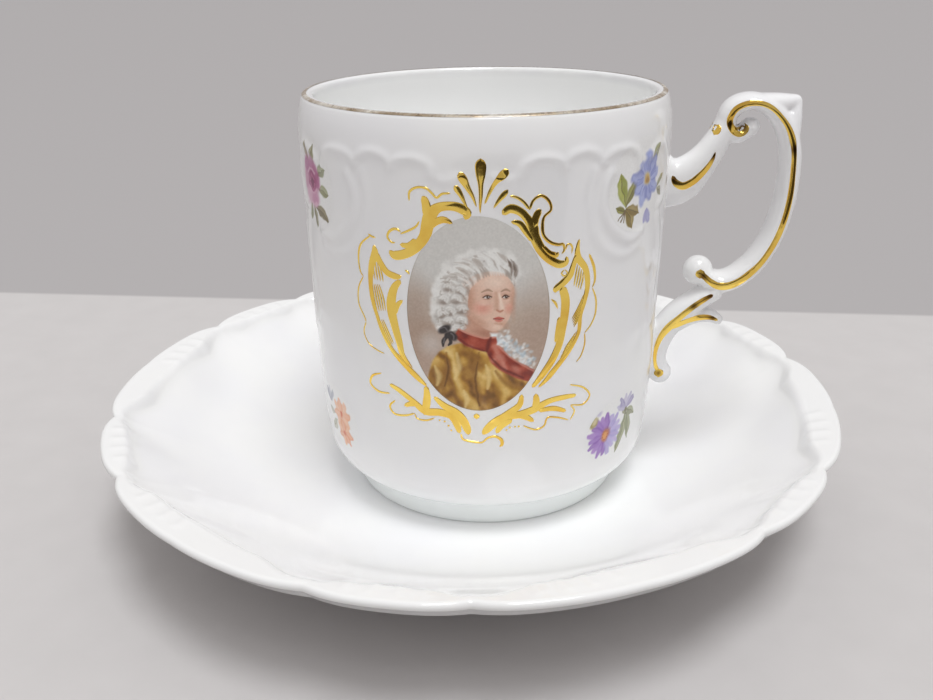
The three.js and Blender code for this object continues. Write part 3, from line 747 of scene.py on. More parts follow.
def ribbon(stroke):
    """Rows of points across a brushed stroke of (right, up, width), round at both ends."""
    length = path_run(smooth_path(stroke, 60))[-1]
    path = smooth_path(stroke, max(RIBBON_LEAST_ROWS, int(length / RIBBON_PITCH)))
    along, run, half = path_directions(path), path_run(path), path[:, 2] / 2
    near_end = np.minimum(run, run[-1] - run) / np.maximum(half, RIBBON_LEAST_HALF)
    rounded = np.sqrt(np.clip(1 - (1 - np.clip(near_end, 0, 1)) ** 2, RIBBON_TIP, 1))
    offset = (half * rounded)[:, None] * RIBBON_ACROSS[None, :]
    right = path[:, :1] + along[:, 1:] * offset
    up = path[:, 1:2] - along[:, :1] * offset
    return right, up, np.broadcast_to(RIBBON_LIFT, offset.shape)


def wall_ribbons(strokes, centre_height):
    parts = []
    for stroke in strokes:
        arc, up, lift = ribbon(stroke)
        points = on_wall(arc.ravel(), centre_height + up.ravel(), lift.ravel())
        parts.append((points, grid_faces(*arc.shape).tolist()))
    return joined(parts)


def handle_ribbons(strokes, side):
    """Ribbons dropped on to the handle's skin from its front (-1) or back (1), and how much painted dark
    reflection each point takes.
    """
    parts, dark_reflections = [], []
    for stroke in strokes:
        out, up, lift = ribbon(stroke)
        # Painted dark reflection, strongest at each listed place
        dark_reflections.append(np.max([
            np.exp(-((out.ravel() - x) ** 2 + (up.ravel() - z) ** 2) / reach ** 2) for x, z, reach in HANDLE_PAINTED_REFLECTIONS
        ], axis=0))
        radius, height = handle_plane(out.ravel(), up.ravel())
        points = []
        for x, z, rise in zip(radius, height, lift.ravel()):
            hit, normal, _, _ = handle_skin.ray_cast(Vector((x, side * DROP_FROM, z)), Vector((0, -side, 0)))
            if hit is None:
                hit, normal, _, _ = handle_skin.find_nearest(Vector((x, side * FACE_OUT, z)))
            points.append(hit + normal * rise)
        faces = grid_faces(*out.shape)
        parts.append((handle_place(points), (faces if side < 0 else faces[:, ::-1]).tolist()))
    return *joined(parts), np.concatenate(dark_reflections)


def dot(right, up, width):
    """A round touch of gold, as a stroke as long as it is wide."""
    return [(right, up - width / 2, width), (right, up, width), (right, up + width / 2, width)]


def hatching(first, last, count):
    """Fine lines that fill the space from one guide line to another."""
    first, last = np.array(first), np.array(last)
    return [
        [(*point, width) for point, width in zip(lerp(first, last, share), HATCH_WIDTHS)]
        for share in np.linspace(0, 1, count)
    ]


CARTOUCHE_MIDDLE = 39.45

# The cartouche: millimetres right of and above the middle of the oval, width of the stroke
CARTOUCHE = {
    "upper_scroll_left": [
        [(-1.6, 14.8, 0.7), (-1.3, 15.7, 1.3), (-2.4, 16.5, 1.4), (-3.7, 16.7, 1.3), (-5.3, 16.4, 1.4),
         (-6.4, 15.4, 1.9), (-6.9, 13.9, 1.9), (-7.4, 12.1, 1.7), (-8.6, 10.5, 1.5), (-10.5, 9.2, 1.4),
         (-12.4, 8.8, 1.3), (-13.1, 9.4, 0.5)],
        [(-6.9, 15, 1.4), (-7, 16.6, 1.3), (-7.3, 17.6, 1), (-7.6, 17.9, 0.5)],
        [(-3.3, 14.2, 0.4), (-4.6, 14.7, 1), (-5.7, 14.3, 1), (-6.5, 13.5, 0.8)],
        [(-8.6, 11.5, 1), (-9.9, 10.5, 0.9), (-11.3, 10.5, 0.6)],
        [(-9.5, 17.1, 0.25), (-9.4, 18.4, 0.35), (-8.4, 19.1, 0.35), (-7, 19.1, 0.35), (-6.1, 18.4, 0.35),
         (-5.5, 17.8, 0.3), (-4.7, 18.4, 0.35), (-3.5, 18.5, 0.25)],
        [(-11, 12.4, 0.25), (-11.9, 12.8, 0.4), (-12.9, 12.3, 0.4), (-13.3, 11.4, 0.35), (-12.7, 10.7, 0.3),
         (-12, 10.7, 0.2)],
        [(-11.2, 12.1, 0.2), (-9.7, 12.8, 0.35), (-8.6, 13.5, 0.3), (-8.1, 14.3, 0.2)],
    ],
    "upper_scroll_right": [
        [(3.5, 15.5, 0.8), (4.6, 16.3, 1.3), (6, 15.8, 1.2), (7.1, 14.6, 1.2), (7.8, 13.4, 1.6), (8.1, 12.1, 1.5),
         (9.1, 10, 1.5), (10.6, 8.3, 1.3), (12.1, 7.5, 1.2), (13, 7.7, 0.9), (13, 8.6, 0.35)],
        [(4.7, 14.4, 0.4), (5.9, 14.1, 0.9), (6.8, 12.9, 0.9), (7.8, 11.4, 0.7)],
        [(7.9, 13.3, 1.2), (8.2, 14.8, 1.1), (8.6, 15.6, 1), (9, 15.9, 0.5)],
        [(9.2, 10.6, 0.7), (10.4, 9.3, 0.9), (11.4, 9, 0.9), (11.7, 9.4, 0.4)],
        [(4.5, 18.1, 0.25), (5.4, 17.9, 0.4), (6.4, 17.2, 0.45), (7.3, 16, 0.4)],
        [(7.3, 16, 0.4), (7.8, 17.3, 0.4), (8.9, 17.9, 0.45), (10, 17.1, 0.45), (10.4, 15.8, 0.4),
         (9.4, 14.8, 0.4), (9.2, 13.4, 0.5), (9.4, 12.1, 0.5), (10.4, 11, 0.5), (11.7, 10.5, 0.45),
         (12.4, 10.5, 0.4), (12.6, 9.5, 0.35), (12.2, 9.1, 0.2)],
        [(12.9, 9.6, 0.2), (13, 10.3, 0.3), (13.5, 10.4, 0.3), (13.9, 9.8, 0.3), (13.8, 8.9, 0.15)],
        [(12.8, 6.6, 0.2), (13.3, 6, 0.25), (12.8, 5.6, 0.25), (12.3, 6.1, 0.25), (12.8, 6.6, 0.2)],
    ],
    "side_leaf_left": [
        [(-15.8, 9.8, 0.5), (-15.7, 8.6, 1.3), (-16.5, 6.6, 1.1), (-16.9, 4.1, 0.9), (-16.8, 1.1, 0.7),
         (-16.1, -1.3, 0.7), (-15.2, -3.9, 0.7), (-13.5, -6.7, 0.8), (-11.1, -9, 1), (-9.2, -10.7, 0.9),
         (-8, -11.7, 0.4)],
        [(-15.6, 8.7, 1.1), (-14.8, 7.2, 1.1), (-13.7, 5.9, 1.1), (-12.2, 5.5, 1), (-11.3, 5.6, 0.4)],
        [(-11.5, 5, 0.7), (-12.6, 3.7, 1.2), (-13.3, 1.4, 1.6), (-13.3, -0.4, 1.6), (-12.9, -2.5, 1.4),
         (-12.3, -4.9, 1.2), (-11.8, -7.1, 0.9), (-10.7, -8.5, 0.5)],
        [(-11.3, 1.9, 0.4), (-12.2, 1, 0.8), (-12.7, -0.6, 0.5)],
        *hatching([(-16.1, 7.9), (-16.2, 6.1), (-16, 4.4)], [(-15, 6.7), (-14.7, 5.5), (-14.5, 4.3)], 4),
        *hatching([(-16.6, 3.7), (-16.5, 1.6), (-16, -0.7)], [(-15.3, 3.8), (-14.7, 1.8), (-14.4, -0.3)], 5),
        *hatching([(-15.9, -2), (-15.2, -4), (-13.9, -6)], [(-15, -1.8), (-14.1, -3.8), (-13.3, -5.4)], 4),
        *hatching([(-12.6, -7), (-11.6, -8.2), (-10.8, -9.2)], [(-12, -5.7), (-11.2, -7.6), (-10.2, -9)], 3),
        [(-16.3, 11.2, 0.2), (-18.2, 9.6, 0.3), (-19, 7.4, 0.3), (-18.8, 5.1, 0.25), (-18.3, 4.5, 0.2)],
        [(-18.3, 4.5, 0.2), (-19.5, 2.4, 0.25), (-19.7, -0.2, 0.25), (-18.7, -2.1, 0.25), (-18.4, -2.9, 0.2)],
        [(-18.4, -2.9, 0.2), (-19, -4.8, 0.2), (-18.1, -6.5, 0.22), (-16.2, -7.3, 0.22), (-15.1, -7.5, 0.15)],
        [(-16.7, 11.4, 0.2), (-16.1, 11.1, 0.35), (-15.4, 11, 0.2)],
        [(-10.7, 6.7, 0.2), (-10.2, 6.4, 0.35), (-10, 6.1, 0.2)],
    ],
    "side_leaf_right": [
        [(15, 10.9, 0.3), (14.8, 10, 0.6), (14.9, 8.2, 1.1), (16.3, 6.2, 1), (16.8, 3.7, 0.9), (16.4, 1.1, 0.8),
         (15.8, -1, 0.7), (15.6, -3.7, 0.7), (14.2, -6.3, 0.8), (12.4, -8.5, 0.9), (10.6, -10.6, 0.8),
         (9.2, -11.9, 0.3)],
        [(14.8, 8.7, 0.9), (14.2, 7.1, 0.9), (13.7, 5.6, 1.1), (12.4, 4.4, 1.2), (11.5, 3.7, 1), (11.4, 3.2, 0.4)],
        [(12.5, 4, 1.2), (13.1, 1.9, 1.4), (13.1, -0.2, 1.4), (12.8, -2.6, 1.3), (12.4, -5, 1.2),
         (11.4, -7.4, 1.2), (9.9, -9.7, 1.1), (8.2, -11.8, 0.6)],
        [(12.2, -0.7, 0.5), (12, -2.8, 0.7), (11.7, -4.8, 0.4)],
        *hatching([(14.9, 7.1), (14.7, 5.6), (14.4, 3.8)], [(15.9, 5.8), (15.9, 4.5), (15.5, 3)], 4),
        *hatching([(16.2, 2.2), (15.3, 0.2), (14.3, -1.4)], [(15.8, -0.6), (15.4, -1.7), (14.7, -2.8)], 5),
        *hatching([(15.2, -3.6), (14, -5.2), (13.2, -6.2)], [(14.4, -5.6), (13.4, -6.8), (12.4, -7.9)], 4),
        *hatching([(11.6, -8), (10.5, -9.4), (9.7, -10.6)], [(12, -8.4), (10.8, -9.9), (9.9, -11.2)], 2),
        [(10.8, 2.3, 0.2), (11.5, 1.6, 0.4), (11.9, 0.6, 0.2)],
        [(16.8, 8.4, 0.35), (17.8, 6.2, 0.5), (18.1, 4.1, 0.35), (17.7, 3, 0.2)],
        [(17.7, 3, 0.2), (18.5, 1, 0.3), (18.5, -1.5, 0.3), (17.7, -3.1, 0.25), (16.7, -4.1, 0.2)],
        [(16.7, -4.1, 0.2), (16.8, -5.9, 0.25), (16.2, -7.8, 0.22), (15.4, -8.7, 0.15)],
    ],
    "lower_branch_left": [
        [(-14.5, -12.6, 0.6), (-12.7, -13.3, 0.9), (-10.4, -14.7, 1), (-8.4, -16.1, 1.3), (-6, -16, 1.3),
         (-4.2, -16.5, 1.2), (-3.3, -18.1, 1.1), (-3, -19.4, 0.6)],
        [(-8.1, -11.7, 0.7), (-8, -13.6, 1.2), (-8.3, -15.6, 1.2), (-8.6, -16.8, 0.6)],
        [(-12, -15.8, 0.6), (-10.6, -15.2, 0.9), (-9.1, -15.2, 0.7)],
        [(-6.9, -13.4, 0.6), (-5.1, -14.9, 1.2), (-3.5, -15.8, 1.4), (-2.4, -17.1, 1.4), (-1.7, -18.9, 1.1),
         (-1.6, -19.6, 0.5)],
        [(-15.9, -11, 0.2), (-17.9, -12, 0.4), (-18.4, -13.4, 0.4), (-16.8, -14.4, 0.4), (-14.5, -14.2, 0.25)],
        [(-13.6, -15.2, 0.25), (-14.7, -16.5, 0.35), (-14, -17.6, 0.35), (-11.9, -17.5, 0.35),
         (-10.2, -16.8, 0.25)],
        [(-10.2, -16.8, 0.2), (-9.9, -17.6, 0.25), (-8.3, -17.7, 0.3), (-6.9, -17.1, 0.2)],
        dot(-6.1, -17.4, 0.3), dot(-5.3, -17.5, 0.35), dot(-4.7, -18.2, 0.35), dot(-4.3, -19, 0.3),
        dot(-0.3, -16.3, 0.95),
    ],
    "lower_branch_right": [
        [(15.7, -14.4, 0.6), (13.6, -14.3, 0.9), (11, -14.5, 1), (8.5, -15.6, 1.3), (6.4, -16.2, 1.3),
         (4.3, -16.4, 1.4), (2.6, -17.3, 1.4), (1.2, -18.7, 1.2), (0.6, -19.5, 0.5)],
        [(8.8, -12.9, 0.7), (8.9, -14.8, 1.2), (8.4, -16.3, 0.9)],
        [(14, -16.8, 0.6), (11.7, -15.9, 0.9), (9.3, -15.9, 0.7)],
        [(8.6, -17.7, 0.6), (7.2, -16.7, 1), (5.8, -16.4, 0.7)],
        [(6.6, -12.8, 0.6), (6.3, -14.5, 1), (4.9, -15.7, 1.2), (3.3, -16.6, 0.9)],
        [(5.2, -17, 0.8), (3.5, -18, 1.1), (2.7, -19.3, 0.6)],
        [(14.4, -12.3, 0.2), (17, -13.4, 0.3), (18.3, -15.1, 0.3), (17.2, -16.3, 0.3), (14.7, -15.9, 0.2)],
        [(14.7, -15.9, 0.2), (15.5, -17.1, 0.25), (14.8, -18.6, 0.2)],
        [(14.5, -18.5, 0.2), (12.4, -17.6, 0.3), (10.8, -17.4, 0.3), (10.3, -18.7, 0.3), (9.1, -19.2, 0.3),
         (7.7, -18.7, 0.25), (6.9, -18.2, 0.2)],
        [(-2.8, -19.4, 0.25), (-2.5, -20.4, 0.35), (-1.3, -20.8, 0.35), (0.5, -20.9, 0.3), (1.4, -20.1, 0.35),
         (2.6, -19.9, 0.45), (3.5, -20.5, 0.55), (3.6, -21.4, 0.5), (3.2, -21.7, 0.25)],
        dot(6.2, -18.3, 0.35), dot(5.6, -18.3, 0.3), dot(4.8, -18.4, 0.35), dot(4.3, -18.8, 0.3),
    ],
}
RAYS = [
    [(-3, 19.6, 0.6), (-2.6, 19.1, 0.9), (-2.1, 18.3, 0.7), (-1.6, 17.2, 0.4), (-1.2, 16.3, 0.15)],
    [(-2.3, 21.5, 0.9), (-1.8, 20.6, 1.2), (-1.2, 19.4, 0.8), (-0.5, 18.1, 0.5), (0, 16.6, 0.15)],
    [(0.6, 23.4, 0.8), (0.6, 22.5, 1.5), (0.6, 21.1, 1.3), (0.6, 19.8, 0.75), (0.6, 18.2, 0.55),
     (0.5, 16.8, 0.35), (0.5, 15.7, 0.12)],
    [(4.3, 21.8, 0.9), (3.6, 21.1, 1.2), (2.7, 20.2, 0.7), (1.9, 18.9, 0.5), (1.1, 17, 0.25)],
    [(4.3, 19, 0.5), (3.7, 18.3, 0.8), (3.1, 17.6, 0.6), (2.3, 16.4, 0.2)],
]
for number, ray in enumerate(RAYS, 1):
    CARTOUCHE[f"ray_{number}"] = [ray]

wall_gold = gilding_material("wall gilding")
for part, strokes in CARTOUCHE.items():
    gilt = mesh_object(f"cartouche_{part}_gilt", *wall_ribbons(strokes, CARTOUCHE_MIDDLE))
    finish_piece(gilt, "cup", wall_gold, [f"cartouche_{part}"])

# Gilt lines on the handle: out from the wall, up, width
HANDLE_LINES = {
    "arm": [
        [(0.6, 38.9, 0.5), (1.2, 37.8, 1.1), (2.4, 37.2, 1.3), (3.8, 37.8, 1.2), (5, 38.9, 1.1), (6.1, 40.3, 0.9),
         (6.8, 41.7, 0.6), (7.1, 42.9, 0.2)],
        [(6.7, 45.5, 0.7), (7.1, 46.3, 1.1), (7.4, 47.1, 0.7)],
    ],
    "sweep": [
        [(11.6, 47.2, 0.7), (11.5, 46.4, 1.3), (10.8, 45.9, 1.4), (9.8, 46.2, 1.2), (9, 47.2, 1.05),
         (8.9, 48.3, 1), (9.6, 49.7, 0.95), (11, 50.5, 0.9), (12.4, 50.7, 0.85), (13.9, 50.5, 0.8),
         (15.3, 49.8, 0.75), (16.7, 48.5, 0.75), (18, 46.9, 0.85), (18.9, 45, 1), (19.4, 43, 0.8),
         (19.7, 39.7, 0.8), (19.8, 36, 0.9), (19.5, 32.4, 0.95), (18.9, 29.4, 1), (17.9, 26.6, 1),
         (16.5, 24, 1.05), (15.2, 22.4, 1.2), (13.5, 20.8, 1.3), (11.8, 19.9, 1.4), (10.1, 19.8, 1.3),
         (8.7, 20.5, 1.1), (7.7, 21.3, 1), (6.9, 21.9, 1.2)],
        dot(6.9, 21.8, 1.6),
    ],
    "root": [
        [(9.4, 18.2, 0.6), (7.9, 17.2, 0.9), (5.9, 15.6, 1), (3.9, 13.6, 1.1), (2.4, 11.9, 1.3), (1.3, 10.2, 1),
         (0.7, 8.4, 0.8), (0.5, 6.6, 0.65), (0.7, 4.8, 0.6), (1.2, 3.4, 0.8)],
        dot(1.5, 2.9, 1.7),
    ],
    "spur": [
        [(2.6, 11.9, 0.8), (4.2, 12.6, 1.1), (6.3, 13.3, 1.1), (8.2, 13.6, 1), (9.6, 13.5, 0.8), (11, 12.9, 0.4)],
    ],
}
# Places where a dark reflection is painted on the handle's gold: out, up, reach
HANDLE_PAINTED_REFLECTIONS = [
    (11.3, 46.6, 0.9), (9, 47.4, 0.6), (1, 38.4, 1), (6.9, 42.2, 0.9), (19.4, 43.4, 1.1), (7.4, 21.4, 1),
    (9, 18, 1.2), (6.4, 16, 0.8), (1.3, 2.9, 0.7), (10, 13.4, 0.7),
]
handle_gold = gilding_material("handle gilding", tinted=True)
for part, strokes in HANDLE_LINES.items():
    for face, side in (("front", -1), ("back", 1)):
        points, faces, dark_reflections = handle_ribbons(strokes, side)
        gilt = mesh_object(f"handle_line_{part}_{face}_gilt", points, faces)
        set_tint(gilt, dark_reflections)
        finish_piece(gilt, "cup", handle_gold, [f"handle_line_{part}_{face}"])


# The worn gilt line along the lip
RIM_LINE = [(29.6, 68.18), (29.5, 68.3), (29.32, 68.4), (29.1, 68.45), (28.85, 68.46)]
rim_radius, rim_height = np.array(RIM_LINE).T[:, :, None]
rim_gilt = mesh_object(
    "rim_gilt", on_cup(round_axis(rim_radius, full_turn(CUP_COLUMNS), rim_height)),
    grid_faces(len(RIM_LINE), CUP_COLUMNS, wrapped=True),
)
finish_piece(rim_gilt, "cup", worn_line_material("rim gilding"), ["rim_gilding"])


# Painting: colours are laid on the points of a patch of the wall, stroke by stroke

BRUSH_WAVES = 0.9  # pitch of the waver that every painted edge has
STROKE_EDGE = 0.03
SPOT_FADE, SPOT_REACH = 0.6, 1.6  # share of its softness outside an oval, and sizes at which it has ended
FILL_POINTS = 12  # points along the outline for each drawn one
PAINT_LIFT = 0.03
PICTURE_PITCH, SPRAY_PITCH = 0.1, 0.11
PETAL_STATIONS, PETAL_WIDTHS = (0.45, 0.75, 0.95), (0.4, 0.9, 1, 0.62)


class Canvas:
    """A patch's points (u right, v up, in millimetres) and their display colours from 0 to 1."""

    def __init__(self, u, v, wobble, seed):
        self.u, self.v = (
            place + wobble * (lattice_noise(u, v, BRUSH_WAVES, seed + number) - 0.5)
            for number, place in enumerate((u, v))
        )
        self.colour = np.tile(np.array(GLAZE_WHITE) / 255, (len(u), 1))

    def lay(self, cover, colour, where=slice(None)):
        """Covers points with a colour, or with the colours that a function of (u, v) gives them."""
        colours = np.array(colour(self.u[where], self.v[where]) if callable(colour) else colour) / 255
        self.colour[where] += (colours - self.colour[where]) * cover[:, None]

    def near(self, points, reach):
        low, high = points[:, :2].min(axis=0) - reach, points[:, :2].max(axis=0) + reach
        return np.nonzero((self.u > low[0]) & (self.u < high[0]) & (self.v > low[1]) & (self.v < high[1]))[0]

    def stroke(self, points, colour, width=None, soft=0.35, strength=1.0, steps=18):
        """A brush stroke through (u, v) or (u, v, width) points."""
        points = np.asarray(points, float)
        if points.shape[1] == 2:
            points = np.hstack([points, np.full((len(points), 1), width)])
        path = smooth_path(points, steps) if len(points) > 2 else np.linspace(points[0], points[1], 5)
        where = self.near(path, path[:, 2].max())
        if len(where):
            away, along = path_distance(self.u[where], self.v[where], path)
            half = np.interp(along, np.linspace(0, 1, len(path)), path[:, 2]) / 2
            cover = 1 - smoothstep(half * (1 - soft), half * (1 + soft) + STROKE_EDGE, away)
            self.lay(cover * strength, colour, where)

    def spot(self, centre, size, colour, turn=0.0, soft=0.5, strength=1.0):
        """A soft oval; size is its half width and half height, turn in degrees."""
        c, s = math.cos(math.radians(turn)), math.sin(math.radians(turn))
        where = self.near(np.array([centre]), SPOT_REACH * max(size))
        if len(where):
            du, dv = self.u[where] - centre[0], self.v[where] - centre[1]
            away = np.hypot((c * du + s * dv) / size[0], (c * dv - s * du) / size[1])
            self.lay((1 - smoothstep(1 - soft, 1 + soft * SPOT_FADE, away)) * strength, colour, where)

    def spots(self, soft, rows):
        """Soft ovals in turn, from rows of centre, size, colour, strength and turn."""
        for centre, size, colour, strength, turn in rows:
            self.spot(centre, size, colour, turn, soft, strength)

    def fill(self, outline, colour, soft):
        """A closed, rounded shape with a soft edge."""
        path = smooth_path([*outline, outline[0]], FILL_POINTS * len(outline))
        where = self.near(path, 2 * soft)
        u, v = self.u[where], self.v[where]
        inside = np.zeros(len(where), dtype=bool)
        for a, b in zip(path[:-1], path[1:]):
            crosses = (a[1] > v) != (b[1] > v)
            rise = b[1] - a[1] if abs(b[1] - a[1]) > 1e-9 else 1e-9
            inside ^= crosses & (u < (b[0] - a[0]) * (v - a[1]) / rise + a[0])
        away, _ = path_distance(u, v, path)
        self.lay(smoothstep(-soft, soft, np.where(inside, away, -away)), colour, where)


def wall_patch(name, arc, height, half, pitch, paint):
    """An oval patch of the wall on a mapped square grid, painted by paint(u, v)."""
    columns, rows = (int(2 * side / pitch) for side in half)
    a, b = np.meshgrid(np.linspace(-1, 1, columns), np.linspace(-1, 1, rows))
    u = (half[0] * a * np.sqrt(1 - b * b / 2)).ravel()
    v = (half[1] * b * np.sqrt(1 - a * a / 2)).ravel()
    piece = mesh_object(name, on_wall(arc + u, height + v, PAINT_LIFT), grid_faces(rows, columns))
    colours = np.ones((len(u), 4))
    colours[:, :3] = linear(255 * np.clip(paint(u, v), 0, 1))
    attribute = piece.data.color_attributes.new(name="paint", type="FLOAT_COLOR", domain="POINT")
    attribute.data.foreach_set("color", colours.ravel())
    return piece


def unit(degrees):
    return np.array([math.cos(math.radians(degrees)), math.sin(math.radians(degrees))])


def petal(canvas, centre, angle, length, width, colour, edge=None, start=0.15):
    """One rounded petal from a centre outwards, angle in degrees, with a paler middle."""
    at = [np.array(centre) + unit(angle) * length * share for share in (start, *PETAL_STATIONS)]
    canvas.stroke([(*p, width * share) for p, share in zip(at, PETAL_WIDTHS)], colour, soft=0.45, strength=0.9)
    if edge is not None:
        middle = [(*p, width * share * 0.5) for p, share in zip(at, PETAL_WIDTHS)]
        canvas.stroke(middle, edge, soft=0.9, strength=0.6)


def petals(canvas, centre, angles, lengths, width, tones, edge=None):
    """Petals round a centre, which take the lengths and the tones in turn."""
    for index, angle in enumerate(angles):
        petal(canvas, centre, angle, lengths[index % len(lengths)], width, tones[index % len(tones)], edge)


def leaves(canvas, rows):
    """Leaves with a lighter half and a drawn midrib, from rows of base, tip, width and three colours."""
    for base, tip, width, colour, light, rib in rows:
        base, tip = np.array(base, float), np.array(tip, float)
        across = np.array([base[1] - tip[1], tip[0] - base[0]])
        across /= np.linalg.norm(across)
        middle = (base + tip) / 2 + across * width * 0.15
        low, high, side = lerp(base, middle, 0.8), lerp(middle, tip, 0.4), middle + across * width * 0.2
        canvas.stroke([(*base, 0.2), (*low, width), (*high, width * 0.9), (*tip, 0.12)], colour, soft=0.2)
        canvas.stroke([(*base, 0.1), (*side, width * 0.4), (*tip, 0.1)], light, soft=0.7, strength=0.7)
        canvas.stroke([(*base, 0.12), (*middle, 0.14), (*tip, 0.08)], rib, soft=0.3, strength=0.7)


# The oval picture: a bust in old dress with a plain face of its own

OVAL_HALF = (10.65, 15.3)
OVAL_LINE = (150, 132, 112)
PRINT_GRAIN = 0.035
GROUND = [(186, 162, 146), (192, 174, 160), (204, 196, 189), (214, 212, 208)]
HAIR, HAIR_LIGHT, HAIR_SHADE, HAIR_DARK = (208, 205, 201), (238, 237, 234), (166, 154, 145), (118, 102, 92)
SKIN, SKIN_LIGHT, SKIN_SHADE, BLUSH = (230, 194, 174), (243, 217, 200), (196, 146, 122), (222, 150, 132)
NECK, NECK_SHADE = (206, 160, 138), (172, 118, 98)
EYE_WHITE, IRIS, GLINT, LASHES, LID, BROW = (
    (240, 232, 226), (84, 66, 56), (250, 248, 246), (92, 62, 48), (186, 134, 112), (162, 128, 106),
)
NOSTRILS, LIP_UPPER, LIP_LOWER, MOUTH = (186, 122, 100), (198, 102, 90), (212, 126, 112), (140, 62, 54)
COAT = [(104, 66, 22), (150, 104, 40), (190, 144, 62), (216, 178, 100), (234, 206, 142)]
REDS = [(104, 36, 30), (150, 58, 42), (178, 82, 62), (212, 146, 128)]
LACE, LACE_SHADE = (238, 241, 242), (176, 192, 204)
BOW, BOW_LIGHT = (58, 52, 52), (112, 106, 108)


def blend(share, colours):
    """Colours along a row of them, share running from 0 to 1."""
    stops = np.linspace(0, 1, len(colours))
    return np.stack([np.interp(share, stops, np.array(colours)[:, channel]) for channel in range(3)], -1)


def ground_colour(u, v):
    cloud = lattice_noise(u, v, 3.2, 11) - 0.5
    return blend(smoothstep(-7, 9.5, v + 4 * cloud), GROUND)


def coat_colour(u, v):
    """Folds that run down from the shoulder, broken by brushwork."""
    sway = lattice_noise(u, v, 2.4, 51)
    fold = 0.5 + 0.5 * np.sin(1.25 * u + 0.42 * v + 6.2 * sway)
    brush = lattice_noise(u * 0.7 + v * 0.3, v * 0.5 - u * 0.2, 0.45, 52)
    return blend(0.08 + 0.62 * fold + 0.3 * brush - 0.2 * smoothstep(-9, -16, v), COAT)


def red_colour(u, v):
    sheen = lattice_noise(u + 0.5 * v, v - 0.4 * u, 1.1, 61)
    return blend(0.1 + 0.85 * sheen, REDS)


def hair_colour(u, v):
    lit = smoothstep(-9, 6, 0.9 * v - 0.7 * u) + 0.5 * (lattice_noise(u, v, 0.9, 71) - 0.5)
    return blend(lit, [HAIR_DARK, HAIR_SHADE, HAIR, HAIR_LIGHT])


def paint_ground(canvas):
    canvas.lay(np.ones(len(canvas.u)), ground_colour)
    canvas.spots(0.9, [
        ((-9, -1), (3.6, 6), (168, 142, 124), 0.5, 0),
        ((9.4, -1), (3.2, 7), (172, 148, 132), 0.45, 0),
        ((-7, -4.6), (2, 2), (214, 208, 204), 0.6, 40),
    ])


HAIRLINE = [(5.2, 5.2), (4.5, 6.4), (2.4, 6.9), (0.4, 6.3), (-0.9, 5), (-1.5, 3.2), (-1.6, 1.2)]
HAIR_EDGE = [(5.8, 6.8), (5, 8.8), (2.4, 10), (-0.6, 9.8), (-3.4, 8.4), (-5.2, 6.2), (-6.2, 3)]
HAIR_NAPE = [(-6.6, 0.4), (-5.6, -1.9)]
HAIR_TONES = [HAIR, HAIR_LIGHT, HAIR_LIGHT, HAIR_LIGHT, HAIR_SHADE, (190, 180, 172)]
CURLS = [
    (-2.4, 4.3), (-4.2, 4.5), (-3.1, 2.8), (-5, 2.7), (-2.2, 1.4), (-4, 1.1), (-5.4, 0.6), (-2.6, -0.4),
    (-4.3, -0.7), (-3, -1.8),
]
CURL_RINGS = [(0.95, HAIR), (0.7, HAIR_LIGHT), (0.45, (222, 219, 215)), (0.22, HAIR_LIGHT)]
LACE_TONES = [LACE, LACE, (206, 216, 222), LACE_SHADE, (196, 186, 180)]
HAIR_TUFTS, HAIR_LOCKS, HAIR_STRAYS, LACE_TOUCHES = 46, 150, 60, 130


def paint_hair_mass(canvas):
    canvas.fill([
        (-3.4, -2.6), (-5.6, -1.6), (-6.5, 0.8), (-6.2, 3.2), (-5.4, 5.8), (-3.8, 8), (-1.4, 9.5), (1.6, 10.1),
        (4.2, 9.4), (5.7, 7.6), (5.8, 5.4), (4.6, 4.4), (0, 4), (-1.6, 0), (-1.4, -2.4),
    ], hair_colour, soft=0.55)
    rng = np.random.default_rng(17)
    for x, y in smooth_path(HAIR_EDGE + HAIR_NAPE, HAIR_TUFTS):
        place = (x + rng.normal(0, 0.2), y + rng.normal(0, 0.2))
        canvas.spot(place, (0.7, 0.5), hair_colour, turn=rng.uniform(0, 180), soft=0.8, strength=0.8)


